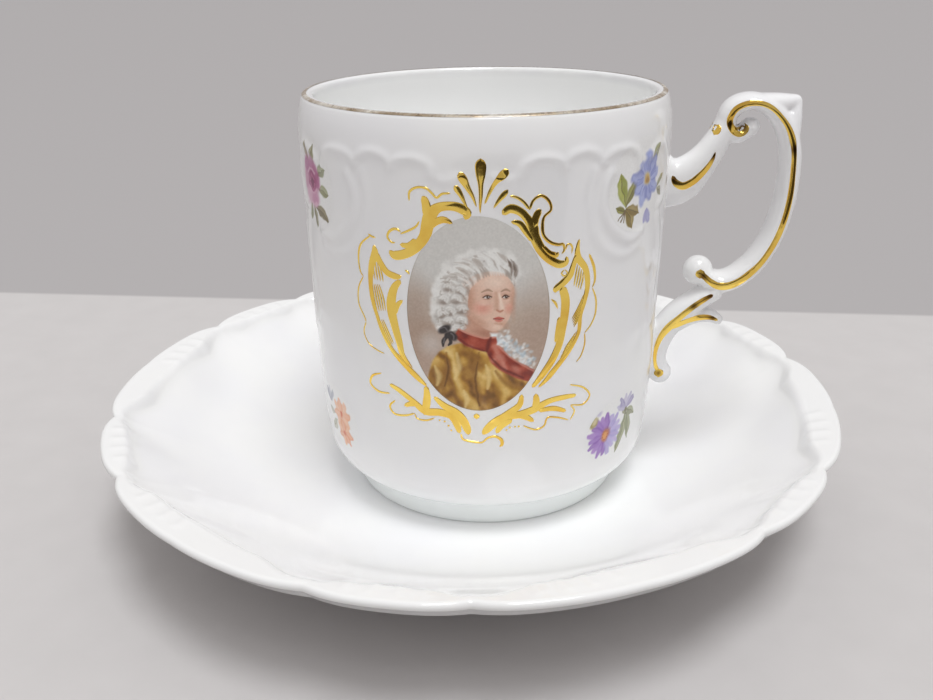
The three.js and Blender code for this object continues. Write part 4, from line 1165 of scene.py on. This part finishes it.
def paint_head(canvas):
    canvas.fill([(-1.4, 0.4), (2.6, -1.6), (3.2, -4.2), (0.6, -5), (-2.4, -3.4)], NECK, soft=0.25)
    canvas.spot((1.2, -2.5), (1.9, 0.7), NECK_SHADE, turn=-16, soft=0.9, strength=0.7)
    canvas.fill([
        (-1.9, 4.8), (-0.8, 6.4), (2, 7.2), (4.4, 6.4), (5.2, 4.6), (5.2, 3), (5, 1.3), (4.4, -0.5), (3.3, -1.9),
        (2.1, -2.2), (0.6, -1.4), (-1, 0), (-1.8, 1.8), (-2.1, 3.4),
    ], SKIN, soft=0.16)
    canvas.spots(0.95, [
        ((2.4, 5.5), (2.1, 1.2), SKIN_LIGHT, 0.9, 0),
        ((-1.3, 2.6), (1.1, 3), SKIN_SHADE, 0.8, 0),
        ((0.2, -0.7), (1.7, 0.8), SKIN_SHADE, 0.65, -38),
        ((5.1, 2.4), (0.5, 2.8), SKIN_SHADE, 0.6, 0),
        ((3.9, -1.2), (0.7, 0.9), SKIN_SHADE, 0.45, 40),
        ((0.7, 1.5), (1.3, 1), BLUSH, 0.75, 0),
        ((4.5, 1.4), (0.6, 0.85), BLUSH, 0.6, 0),
        ((0.9, 2.2), (0.8, 0.4), SKIN_LIGHT, 0.5, 0),
    ])
    for eye, wide in ((1.4, 1.05), (4.05, 0.85)):
        canvas.spot((eye, 3.4), (0.8 * wide, 0.55), SKIN_SHADE, soft=0.9, strength=0.6)
        canvas.spot((eye, 3.2), (0.5 * wide, 0.27), EYE_WHITE, soft=0.4)
        canvas.spot((eye + 0.1, 3.22), (0.26, 0.3), IRIS, soft=0.35)
        canvas.spot((eye + 0.18, 3.32), (0.08, 0.08), GLINT, soft=0.4)
        canvas.stroke([(eye - 0.56 * wide, 3.2), (eye, 3.53), (eye + 0.56 * wide, 3.26)], LASHES, 0.17)
        canvas.stroke([(eye - 0.44 * wide, 2.97), (eye, 2.87), (eye + 0.44 * wide, 3)], LID, 0.13, strength=0.7)
        brow = [(eye - 0.75 * wide, 4.05, 0.12), (eye, 4.36, 0.3), (eye + 0.7 * wide, 4.08, 0.1)]
        canvas.stroke(brow, BROW, soft=0.8, strength=0.75)
    for points, colour, soft, strength in (
        ([(2.66, 3.8, 0.4), (2.74, 2.6, 0.7), (2.8, 1.4, 0.7)], SKIN_SHADE, 0.95, 0.42),
        ([(3.15, 3.7, 0.25), (3.35, 2.4, 0.4), (3.5, 1.5, 0.55)], SKIN_LIGHT, 0.95, 1),
        ([(2.8, 1.12, 0.2), (3.2, 0.9, 0.26), (3.65, 1.1, 0.18)], NOSTRILS, 0.8, 0.85),
        ([(2.35, -0.16, 0.14), (3, -0.06, 0.36), (3.75, -0.14, 0.12)], LIP_UPPER, 0.6, 1),
        ([(2.55, -0.45, 0.14), (3.05, -0.52, 0.4), (3.55, -0.43, 0.12)], LIP_LOWER, 0.7, 1),
        ([(2.3, -0.2, 0.12), (3, -0.26, 0.12), (3.78, -0.18, 0.12)], MOUTH, 0.35, 1),
        ([(2.65, -1, 0.3), (3.05, -1.06, 0.3), (3.45, -0.98, 0.3)], SKIN_SHADE, 0.95, 0.6),
    ):
        canvas.stroke(points, colour, soft=soft, strength=strength)
    canvas.spot((2.9, -1.5), (0.7, 0.45), SKIN_LIGHT, soft=0.95, strength=0.6)


def paint_hair(canvas):
    """Hair combed back from the brow, and rows of soft curls at the side."""
    rng = np.random.default_rng(21)
    roots, ends = smooth_path(HAIRLINE, 101), smooth_path(HAIR_EDGE, 101)
    for _ in range(HAIR_LOCKS):
        share = rng.random()
        root, end = roots[int(82 * share)], ends[min(100, int(82 * share) + 16)]
        start, stop = sorted(rng.random(2))
        bow = np.array([end[1] - root[1], root[0] - end[0]]) * 0.16
        points = [lerp(root, end, t) + bow * 4 * t * (1 - t) for t in (start, (start + stop) / 2, stop)]
        tone = HAIR_DARK if share < 0.16 and rng.random() < 0.5 else HAIR_TONES[rng.integers(6)]
        lock = [(*points[0], 0.1), (*points[1], rng.uniform(0.2, 0.5)), (*points[2], 0.1)]
        canvas.stroke(lock, tone, soft=0.8, strength=0.55, steps=8)
    for x, y in roots[::3]:
        wisp = [(x + 0.1, y - 0.35, 0.1), (x - 0.1, y + 0.25, 0.4), (x - 0.5, y + 1, 0.1)]
        tone = HAIR_SHADE if rng.random() < 0.6 else HAIR_LIGHT
        canvas.stroke(wisp, tone, soft=0.9, strength=0.6, steps=8)
    for x, y in CURLS:
        x, y = x + rng.normal(0, 0.15), y + rng.normal(0, 0.15)
        canvas.spot((x, y - 0.25), (1.15, 0.85), HAIR_SHADE, turn=rng.uniform(-30, 30), soft=0.9, strength=0.75)
        canvas.spot((x - 0.1, y - 0.55), (0.8, 0.3), HAIR_DARK, soft=0.9, strength=0.45)
        turn = rng.uniform(-0.6, 0.6)
        sweep = [turn + lerp(-0.3, 3.4, share) for share in (0, 0.35, 0.7, 1)]
        for ring, tone in CURL_RINGS:
            curl = [(x + ring * math.cos(a), y + 0.8 * ring * math.sin(a)) for a in sweep]
            canvas.stroke(curl, tone, 0.26, soft=0.8, strength=0.75, steps=10)
    for _ in range(HAIR_STRAYS):
        x, y = rng.uniform(-6, -1.6), rng.uniform(-2.2, 6)
        turn = rng.uniform(0, math.tau)
        dx, dy = 0.5 * math.cos(turn), 0.5 * math.sin(turn)
        stray = [(x, y), (x + dx, y + dy), (x + dx - 0.5 * dy, y + dy + 0.5 * dx)]
        canvas.stroke(stray, HAIR_TONES[rng.integers(6)], 0.16, soft=0.9, strength=0.5, steps=6)


def paint_dress(canvas):
    canvas.fill([
        (-7.9, -13.4), (-7.7, -10.2), (-6.8, -7.2), (-5.2, -5.2), (-2.8, -4.2), (0.4, -4.6), (3.4, -5.8),
        (6.2, -7.8), (8.6, -9.8), (9.2, -13), (4, -16.6), (-4, -16.6),
    ], coat_colour, soft=0.2)
    shade, dark, light = COAT[1], COAT[0], COAT[4]
    for points, colour in (
        ([(-4.7, -5.8, 0.3), (-4.6, -8.6, 0.9), (-5.4, -11.6, 0.9), (-5.2, -14, 0.5)], shade),
        ([(0.2, -5.6, 0.2), (-0.6, -8.4, 0.7), (-0.2, -11.4, 0.9), (0.4, -15, 0.6)], shade),
        ([(2.6, -8.6, 0.3), (4.2, -10.8, 0.7), (6.6, -12, 0.4)], shade),
        ([(-4.6, -6.6, 0.1), (-4.5, -9, 0.3), (-5.1, -11.4, 0.2)], dark),
        ([(0, -7, 0.1), (-0.4, -10, 0.3), (0.1, -14.4, 0.25)], dark),
        ([(-6.5, -8.2, 0.4), (-6, -9.8, 0.8), (-6.3, -11.4, 0.4)], light),
        ([(-3.2, -5.8, 0.4), (-2.9, -7.8, 0.9), (-3.4, -10, 0.4)], light),
        ([(1.2, -7.6, 0.3), (1.6, -9.4, 0.7), (1.4, -11.6, 0.3)], light),
        ([(-2.2, -12, 0.3), (-1.8, -13.4, 0.7), (-2, -14.8, 0.3)], light),
    ):
        canvas.stroke(points, colour, soft=0.9, strength=0.75)
    canvas.fill([(1.8, -2.4), (3.4, -2.6), (4.2, -4.4), (2.4, -4.8)], LACE, soft=0.25)
    rng = np.random.default_rng(33)
    for index in range(LACE_TOUCHES):
        share = rng.random()
        x = lerp(3.4, 8, share) + rng.normal(0, 0.6)
        y = lerp(-3.6, -8.2, share) + rng.normal(0, 0.6) + 0.5
        size = (rng.uniform(0.25, 0.55), rng.uniform(0.18, 0.32))
        canvas.spot((x, y), size, LACE_TONES[index % 5], turn=rng.uniform(0, 180), soft=0.8, strength=0.7)
    canvas.fill([
        (1.2, -4.2), (3, -4.5), (5, -6.6), (8.8, -9.4), (8.4, -10.8), (5, -9.6), (2.4, -7.8), (1.4, -6),
    ], red_colour, soft=0.16)
    canvas.spot((3.2, -6.4), (1, 0.75), REDS[3], turn=-40, soft=0.8, strength=0.8)
    canvas.spot((5.6, -8.5), (1, 0.55), REDS[3], turn=-35, soft=0.9, strength=0.6)
    canvas.stroke([(1.6, -6, 0.2), (3.4, -8.1, 0.35), (6.8, -10, 0.3)], REDS[0], soft=0.8, strength=0.8)
    canvas.stroke([(3, -4.6), (5, -6.6), (8.6, -9.3)], REDS[3], 0.22, soft=0.6, strength=0.7)
    canvas.fill([
        (-2.9, -1.9), (-1.2, -2.6), (1, -3.2), (2.6, -3.1), (2.7, -4.4), (1.4, -5.4), (-0.8, -4.9), (-2.6, -3.9),
        (-3.3, -2.9),
    ], red_colour, soft=0.14)
    canvas.stroke([(-2.8, -1.9), (-1.2, -2.6), (1, -3.2), (2.6, -3.1)], REDS[3], 0.24, soft=0.5)
    canvas.stroke([(1.9, -3.2, 0.3), (1.5, -4.4, 0.6), (1.3, -5.4, 0.3)], REDS[0], soft=0.8, strength=0.75)
    canvas.stroke([(-3, -3.2), (-1.2, -4.5), (1, -5.3)], REDS[0], 0.25, soft=0.8, strength=0.6)


def paint_bow(canvas):
    canvas.spot((-4.9, -2), (1.15, 0.62), BOW, turn=30, soft=0.35)
    canvas.spot((-3.7, -3), (0.95, 0.62), BOW, turn=-50, soft=0.35)
    canvas.spot((-4.4, -2.9), (0.55, 0.5), BOW, soft=0.4)
    canvas.stroke([(-4.5, -3, 0.5), (-5.1, -3.9, 0.55), (-5.2, -4.7, 0.25)], BOW)
    canvas.stroke([(-4.2, -3.1, 0.5), (-4, -4, 0.5), (-4.4, -4.6, 0.2)], BOW)
    for points in (
        [(-5.6, -1.9), (-4.9, -1.7), (-4.4, -2.2)], [(-3.9, -2.6), (-3.5, -3), (-3.5, -3.5)],
        [(-4.9, -3.4), (-5.1, -4.2)],
    ):
        canvas.stroke(points, BOW_LIGHT, 0.16, soft=0.7, strength=0.8)


def paint_portrait(u, v):
    canvas = Canvas(u, v, 0.14, 5)
    for paint in (paint_ground, paint_hair_mass, paint_head, paint_hair, paint_dress, paint_bow):
        paint(canvas)
    edge = np.hypot(u / OVAL_HALF[0], v / OVAL_HALF[1])
    line = smoothstep(0.982, 0.992, edge) * (0.1 + 0.6 * lattice_noise(u, v, 2.4, 8)) * smoothstep(12, 2, v)
    canvas.lay(line, OVAL_LINE)
    return canvas.colour + PRINT_GRAIN * (lattice_noise(u, v, 0.22, 3) - 0.5)[:, None]


medallion = wall_patch("portrait_picture", 0, CARTOUCHE_MIDDLE, OVAL_HALF, PICTURE_PITCH, paint_portrait)
finish_piece(medallion, "cup", enamel_material("picture enamel"), ["portrait_medallion"])


# Flower sprays, in millimetres round the middle of each patch

OLIVE, OLIVE_LIGHT, OLIVE_DARK = (124, 120, 62), (172, 172, 92), (84, 70, 38)
SAGE, SAGE_LIGHT = (142, 146, 112), (184, 186, 154)


def paint_blue(canvas):
    leaves(canvas, [
        ((-3.9, -2.8), (-5.4, 2.6), 2, (142, 148, 58), (188, 192, 96), OLIVE_DARK),
        ((-3.9, -2.6), (-1.6, 1), 1.6, OLIVE, OLIVE_LIGHT, OLIVE_DARK),
        ((-4.1, -3.2), (-2.2, -6.2), 1.9, (132, 112, 52), (172, 150, 86), OLIVE_DARK),
        ((-4, -3), (-0.6, -4.4), 1.7, (128, 106, 50), (176, 156, 96), OLIVE_DARK),
        ((-4.2, -3.1), (-6, -2.6), 1.1, OLIVE, OLIVE_LIGHT, OLIVE_DARK),
        ((2.8, 2.8), (4.4, 5.6), 1.8, SAGE, (176, 178, 122), OLIVE_DARK),
        ((4.8, -1.4), (7, 0.2), 1.2, SAGE, SAGE_LIGHT, (110, 100, 70)),
        ((5, -1.6), (6.6, -2.8), 1, (150, 148, 124), SAGE_LIGHT, (110, 100, 70)),
    ])
    for tail in ((-4.9, -4.9), (-4.4, -5.2), (-5.4, -4.6)):
        canvas.stroke([(-4.1, -3), tail], (112, 92, 62), 0.14)
    centre = np.array([1, 0.6])
    tones = [(132, 142, 206), (150, 160, 220), (120, 128, 196)]
    petals(canvas, centre, range(90, 450, 40), [3.7, 3.2], 2.3, tones, edge=(184, 194, 236))
    for angle in range(13, 377, 26):
        vein = [centre + unit(angle) * 1.1, centre + unit(angle) * 2.8]
        canvas.stroke(vein, (104, 112, 184), 0.16, soft=0.7, strength=0.5)
    canvas.spot((1.1, 0.7), (1.1, 1.2), (206, 206, 214), soft=0.5, strength=0.8)
    canvas.spot((1.1, 0.7), (0.8, 0.95), (206, 168, 84), soft=0.5)
    canvas.spot((1.2, 0.5), (0.5, 0.6), (168, 124, 62), soft=0.6)
    petal(canvas, (1.4, -4.2), -60, 2.2, 1.6, (142, 142, 200), edge=(182, 182, 224))
    petal(canvas, (1.2, -4.2), -95, 1.8, 1.1, (160, 158, 210))


# The aster's petals on its warm and its cool side: three tones, and the paler middle
ASTER_WARM = [(142, 98, 184), (122, 74, 168), (164, 122, 198)], (170, 130, 204)
ASTER_COOL = [(172, 164, 220), (186, 178, 228), (160, 152, 212)], (196, 172, 222)


def paint_aster(canvas):
    leaves(canvas, [
        ((1.8, 2.2), (-0.2, -5), 1.7, SAGE, (182, 184, 146), (104, 108, 76)),
        ((2.2, 2), (3.2, -3.4), 1.8, (132, 138, 100), SAGE_LIGHT, (98, 100, 70)),
        ((2, 2.4), (4.6, 0.8), 1.4, SAGE, SAGE_LIGHT, (104, 108, 76)),
        ((1.9, 1.6), (1.2, 3.6), 1.4, (120, 118, 88), SAGE_LIGHT, (90, 86, 62)),
    ])
    centre = np.array([-3.5, -0.3])
    for index, angle in enumerate(range(6, 366, 20)):
        tones, edge = ASTER_WARM if math.cos(math.radians(angle)) < 0.1 else ASTER_COOL
        petal(canvas, centre, angle, 3.6 if index % 2 else 4.1, 1.15, tones[index % 3], edge, start=0.2)
    canvas.spot((-3.4, -0.2), (1.15, 1.4), (156, 92, 112), soft=0.4)
    canvas.spot(centre, (0.85, 1.1), (224, 152, 78), soft=0.5)
    for angle in range(0, 360, 40):
        canvas.spot(centre + unit(angle) * (0.6, 0.8), (0.2, 0.22), (188, 92, 52), soft=0.5)
    canvas.spot((-6.4, 2.8), (0.95, 1.05), (164, 148, 92), soft=0.4)
    canvas.spot((-6.2, 2.9), (0.5, 0.7), (206, 192, 148), soft=0.6)
    canvas.spot((-5.4, 4.2), (0.7, 0.6), (196, 188, 216), soft=0.6, strength=0.8)
    tones = [(128, 118, 172), (176, 168, 204), (198, 192, 216)]
    petals(canvas, (1.6, 2.8), (30, 62, 95, 128, 158), [2.7], 1.1, tones, edge=(206, 200, 222))


def paint_rose(canvas):
    leaves(canvas, [
        ((1, 3), (1.4, 6.4), 1.5, (140, 134, 100), SAGE_LIGHT, (100, 88, 64)),
        ((-1, 3.2), (-1.8, 6.6), 1.4, (134, 124, 92), SAGE_LIGHT, (100, 88, 64)),
        ((2.4, 1.6), (5, 3), 1.7, SAGE, SAGE_LIGHT, (104, 104, 70)),
        ((2.4, -0.4), (5.2, -1), 1.7, (138, 138, 96), SAGE_LIGHT, (104, 104, 70)),
        ((0.8, -3.4), (4.6, -5), 1.7, (112, 100, 68), (150, 140, 104), OLIVE_DARK),
        ((0, -3.2), (0.6, -6.8), 1.1, (128, 120, 92), SAGE_LIGHT, (96, 86, 60)),
        ((-1, -2.8), (-2, -6), 1.3, SAGE, SAGE_LIGHT, (96, 92, 64)),
    ])
    for centre, size, colour in (
        ((-0.7, 0.5), (3.1, 4), (190, 112, 152)), ((-1.8, 2.6), (1.5, 1.4), (174, 92, 142)),
        ((0.5, 3.2), (1.6, 1.3), (182, 100, 148)), ((1.6, 1), (1.4, 2), (168, 70, 124)),
        ((-2.2, -0.2), (1.4, 1.8), (208, 142, 176)), ((-1.4, -2), (1.7, 1.3), (226, 172, 200)),
        ((0.8, -2.2), (1.6, 1.2), (204, 138, 174)), ((0.1, 0.6), (1.7, 1.9), (150, 44, 102)),
        ((0.2, 0.4), (0.8, 1), (118, 26, 78)),
    ):
        canvas.spot(centre, size, colour, soft=0.45, strength=0.9)
    pale, deep = ((232, 184, 208), 0.4), ((196, 104, 150), 0.3)
    for points, brush in (
        ([(-1.6, 1.6), (-0.2, 2.4), (1.4, 1.8)], pale), ([(-1.7, -0.6), (-0.2, -1.4), (1.6, -0.8)], pale),
        ([(-3, -1.4), (-1.4, -3), (1.2, -3)], pale), ([(-0.9, 0.4), (-0.1, 1.4), (0.9, 0.9)], deep),
        ([(-0.7, -0.2), (0.2, -0.7), (1, 0)], deep),
    ):
        canvas.stroke(points, *brush, soft=0.9, strength=0.7)


def paint_orange(canvas):
    leaves(canvas, [
        ((-1, -1), (-3.6, -3.6), 1.5, (176, 176, 156), (206, 204, 190), (140, 136, 112)),
        ((-1.4, 0), (-3.8, 0.6), 1.3, (184, 182, 168), (210, 208, 198), (150, 146, 126)),
    ])
    upper, lower = (1.4, 0.9), (1.8, -2.6)
    petals(canvas, (-3, 1.6), (60, 92, 124), [2.8], 1.1, [(160, 164, 180), (182, 184, 198), (148, 150, 166)])
    petals(canvas, upper, range(10, 370, 45), [2.6], 1.6, [(236, 150, 106), (244, 178, 138)], edge=(250, 204, 172))
    petals(canvas, lower, range(0, 357, 51), [2.2], 1.4, [(230, 138, 96), (242, 172, 130)], edge=(250, 200, 166))
    canvas.spot(upper, (0.6, 0.7), (214, 96, 52), soft=0.6)
    canvas.spot(lower, (0.5, 0.6), (208, 92, 52), soft=0.6)


# Each spray: degrees from the front, height of its middle, half size, painter
SPRAYS = {
    "rose": (-58.6, 56, (6.4, 7.4), paint_rose),
    "blue": (53, 56.5, (8, 7.2), paint_blue),
    "orange": (-56, 16.1, (6.4, 5.8), paint_orange),
    "aster": (50, 16.1, (7.8, 6), paint_aster),
}
flower_enamel = enamel_material("flower enamel")
for number, (flower, (degrees, middle, half, painter)) in enumerate(SPRAYS.items()):
    def paint_spray(u, v, painter=painter, number=number):
        canvas = Canvas(u, v, 0.5, 40 + 2 * number)
        painter(canvas)
        thin = 0.04 + 0.14 * lattice_noise(u, v, 0.8, 60 + number)[:, None]
        return lerp(canvas.colour, np.array(GLAZE_WHITE) / 255, thin)
    arc = math.radians(degrees) * ARC_RADIUS
    spray = wall_patch(f"flower_spray_{flower}_painted", arc, middle, half, SPRAY_PITCH, paint_spray)
    finish_piece(spray, "cup", flower_enamel, [f"flower_spray_{flower}"])


# Stage, lamps and camera

TABLE, TABLE_DARK, BACKGROUND = (198, 195, 195), (195, 192, 192), (171, 168, 169)
TABLE_EDGE_START, TABLE_EDGE_END = -0.6, 1.2
CARD_LIGHT, CARD_DARK = (42, 33, 24), (26, 20, 14)
CARD_CORNERS = [
    (-83, -215), (-32, -235), (-26, -290), (14, -290), (20, -232), (120, -126), (700, -480), (700, -1500),
    (-200, -1500),
]
ROOM_LIGHT, ROOM_SEEN = (1, 0.975, 0.955, 1), (180, 176, 178)
ROOM_HORIZON, ROOM_ZENITH, ROOM_ZENITH_FROM = 0.05, 0.76, 0.7
SUN_TOWARD, SUN_STRENGTH, SUN_SOFTNESS, SUN_COLOUR = (0.14, -0.22, 1), 1.45, 23, (0.97, 0.99, 1)
LAMP_PLACE, LAMP_TARGET, LAMP_SIZE, LAMP_POWER = (60, -540, 860), (0, 0, 60), (240, 150), 0.7
CLIP_START = 0.005
DIFFUSE_BOUNCES = 10


def add_floor():
    """A pale table, and a greyer ground beyond its edge."""
    surface = Surface("floor", Roughness=1.0, **{"Specular IOR Level": 0.0})
    left, right = np.array(TABLE_EDGE_LEFT, float), np.array(TABLE_EDGE_RIGHT, float)
    along = (right - left) / np.linalg.norm(right - left)
    across = np.array([-along[1], along[0]])
    reach = surface.add("VectorMath", "Value", {0: surface.place, 1: (*across, 0)}, operation="DOT_PRODUCT")
    start, end = (left @ across + TABLE_EDGE_START) * MM, (left @ across + TABLE_EDGE_END) * MM
    table = surface.patches(surface.noise(9, detail=6), rgba(TABLE_DARK), rgba(TABLE))
    surface.link(surface.mix(surface.span(reach, start, end, 0, 1), table, rgba(BACKGROUND)), "Base Color")
    surface.bump(surface.noise(1.2, detail=4), 0.02, 0.4)
    corners = [(FLOOR_REACH * x, FLOOR_REACH * y, 0) for x, y in ((-1, -1), (1, -1), (1, 1), (-1, 1))]
    floor = mesh_object("floor", corners, [range(4)])
    floor.data.materials.append(surface.material)


def add_card():
    """A dark sheet that only shows in reflections, as the room behind the camera does."""
    card = mesh_object("dark_card", [(x, y, 1) for x, y in CARD_CORNERS], [range(len(CARD_CORNERS))])
    surface = Surface("dark_card paper", Roughness=0.9)
    surface.link(surface.patches(surface.noise(80), rgba(CARD_DARK), rgba(CARD_LIGHT)), "Base Color")
    card.data.materials.append(surface.material)
    card.visible_camera = card.visible_diffuse = card.visible_shadow = card.visible_transmission = False


def add_object(name, data):
    holder = bpy.data.objects.new(name, data)
    bpy.context.scene.collection.objects.link(holder)
    return holder


def add_lamp():
    lamp = bpy.data.lights.new("front window", "AREA")
    lamp.shape = "RECTANGLE"
    lamp.size, lamp.size_y = (side * MM for side in LAMP_SIZE)
    lamp.energy = LAMP_POWER
    place, target = Vector(LAMP_PLACE) * MM, Vector(LAMP_TARGET) * MM
    turn = (target - place).to_track_quat("-Z", "Y").to_matrix().to_4x4()
    add_object("front window", lamp).matrix_world = Matrix.Translation(place) @ turn


def add_sun():
    """Even light from a far, soft source."""
    lamp = bpy.data.lights.new("ceiling", "SUN")
    lamp.energy = SUN_STRENGTH
    lamp.color = SUN_COLOUR
    lamp.angle = math.radians(SUN_SOFTNESS)
    add_object("ceiling", lamp).rotation_euler = Vector(SUN_TOWARD).to_track_quat("Z", "Y").to_euler()


def add_camera():
    data = bpy.data.cameras.new("camera")
    data.sensor_fit = "HORIZONTAL"
    data.sensor_width = FILM_WIDTH
    data.lens = FILM_WIDTH * FOCAL_PIXELS / PICTURE_WIDTH
    data.clip_start = CLIP_START
    camera = add_object("camera", data)
    camera.matrix_world = (
        Matrix.Translation(Vector(CAMERA_PLACE) * MM)
        @ Matrix.Rotation(CAMERA_YAW, 4, "Z")
        @ Matrix.Rotation(math.pi / 2 - CAMERA_PITCH, 4, "X")
        @ Matrix.Rotation(CAMERA_ROLL, 4, "Z")
    )
    bpy.context.scene.camera = camera


def add_world():
    """A room that is bright overhead and dim at eye level, seen as a plain ground behind the table."""
    world = bpy.data.worlds.new("room")
    world.use_nodes = True
    tree = world.node_tree
    height = add_node(tree, "SeparateXYZ", "Z", {0: add_node(tree, "TexCoord", "Generated", {})})
    glow = add_node(tree, "MapRange", "Result", {
        "Value": height, "From Max": ROOM_ZENITH_FROM, "To Min": ROOM_HORIZON, "To Max": ROOM_ZENITH,
    })
    room = tree.nodes["Background"]
    room.inputs["Color"].default_value = ROOM_LIGHT
    tree.links.new(glow, room.inputs["Strength"])
    ground = add_node(tree, "Background", 0, {"Color": rgba(ROOM_SEEN)})
    seen = add_node(tree, "LightPath", "Is Camera Ray", {})
    rays = seen.node.outputs
    for ray in ("Is Glossy Ray", "Is Transmission Ray"):
        seen = add_node(tree, "Math", 0, {0: seen, 1: rays[ray]}, operation="MAXIMUM")
    choice = add_node(tree, "MixShader", 0, {0: seen, 1: room.outputs[0], 2: ground})
    tree.links.new(choice, tree.nodes["World Output"].inputs["Surface"])
    bpy.context.scene.world = world


add_floor()
add_card()
add_world()
add_sun()
add_lamp()
add_camera()
bpy.context.scene.view_settings.view_transform = "Standard"
bpy.context.scene.cycles.diffuse_bounces = DIFFUSE_BOUNCES
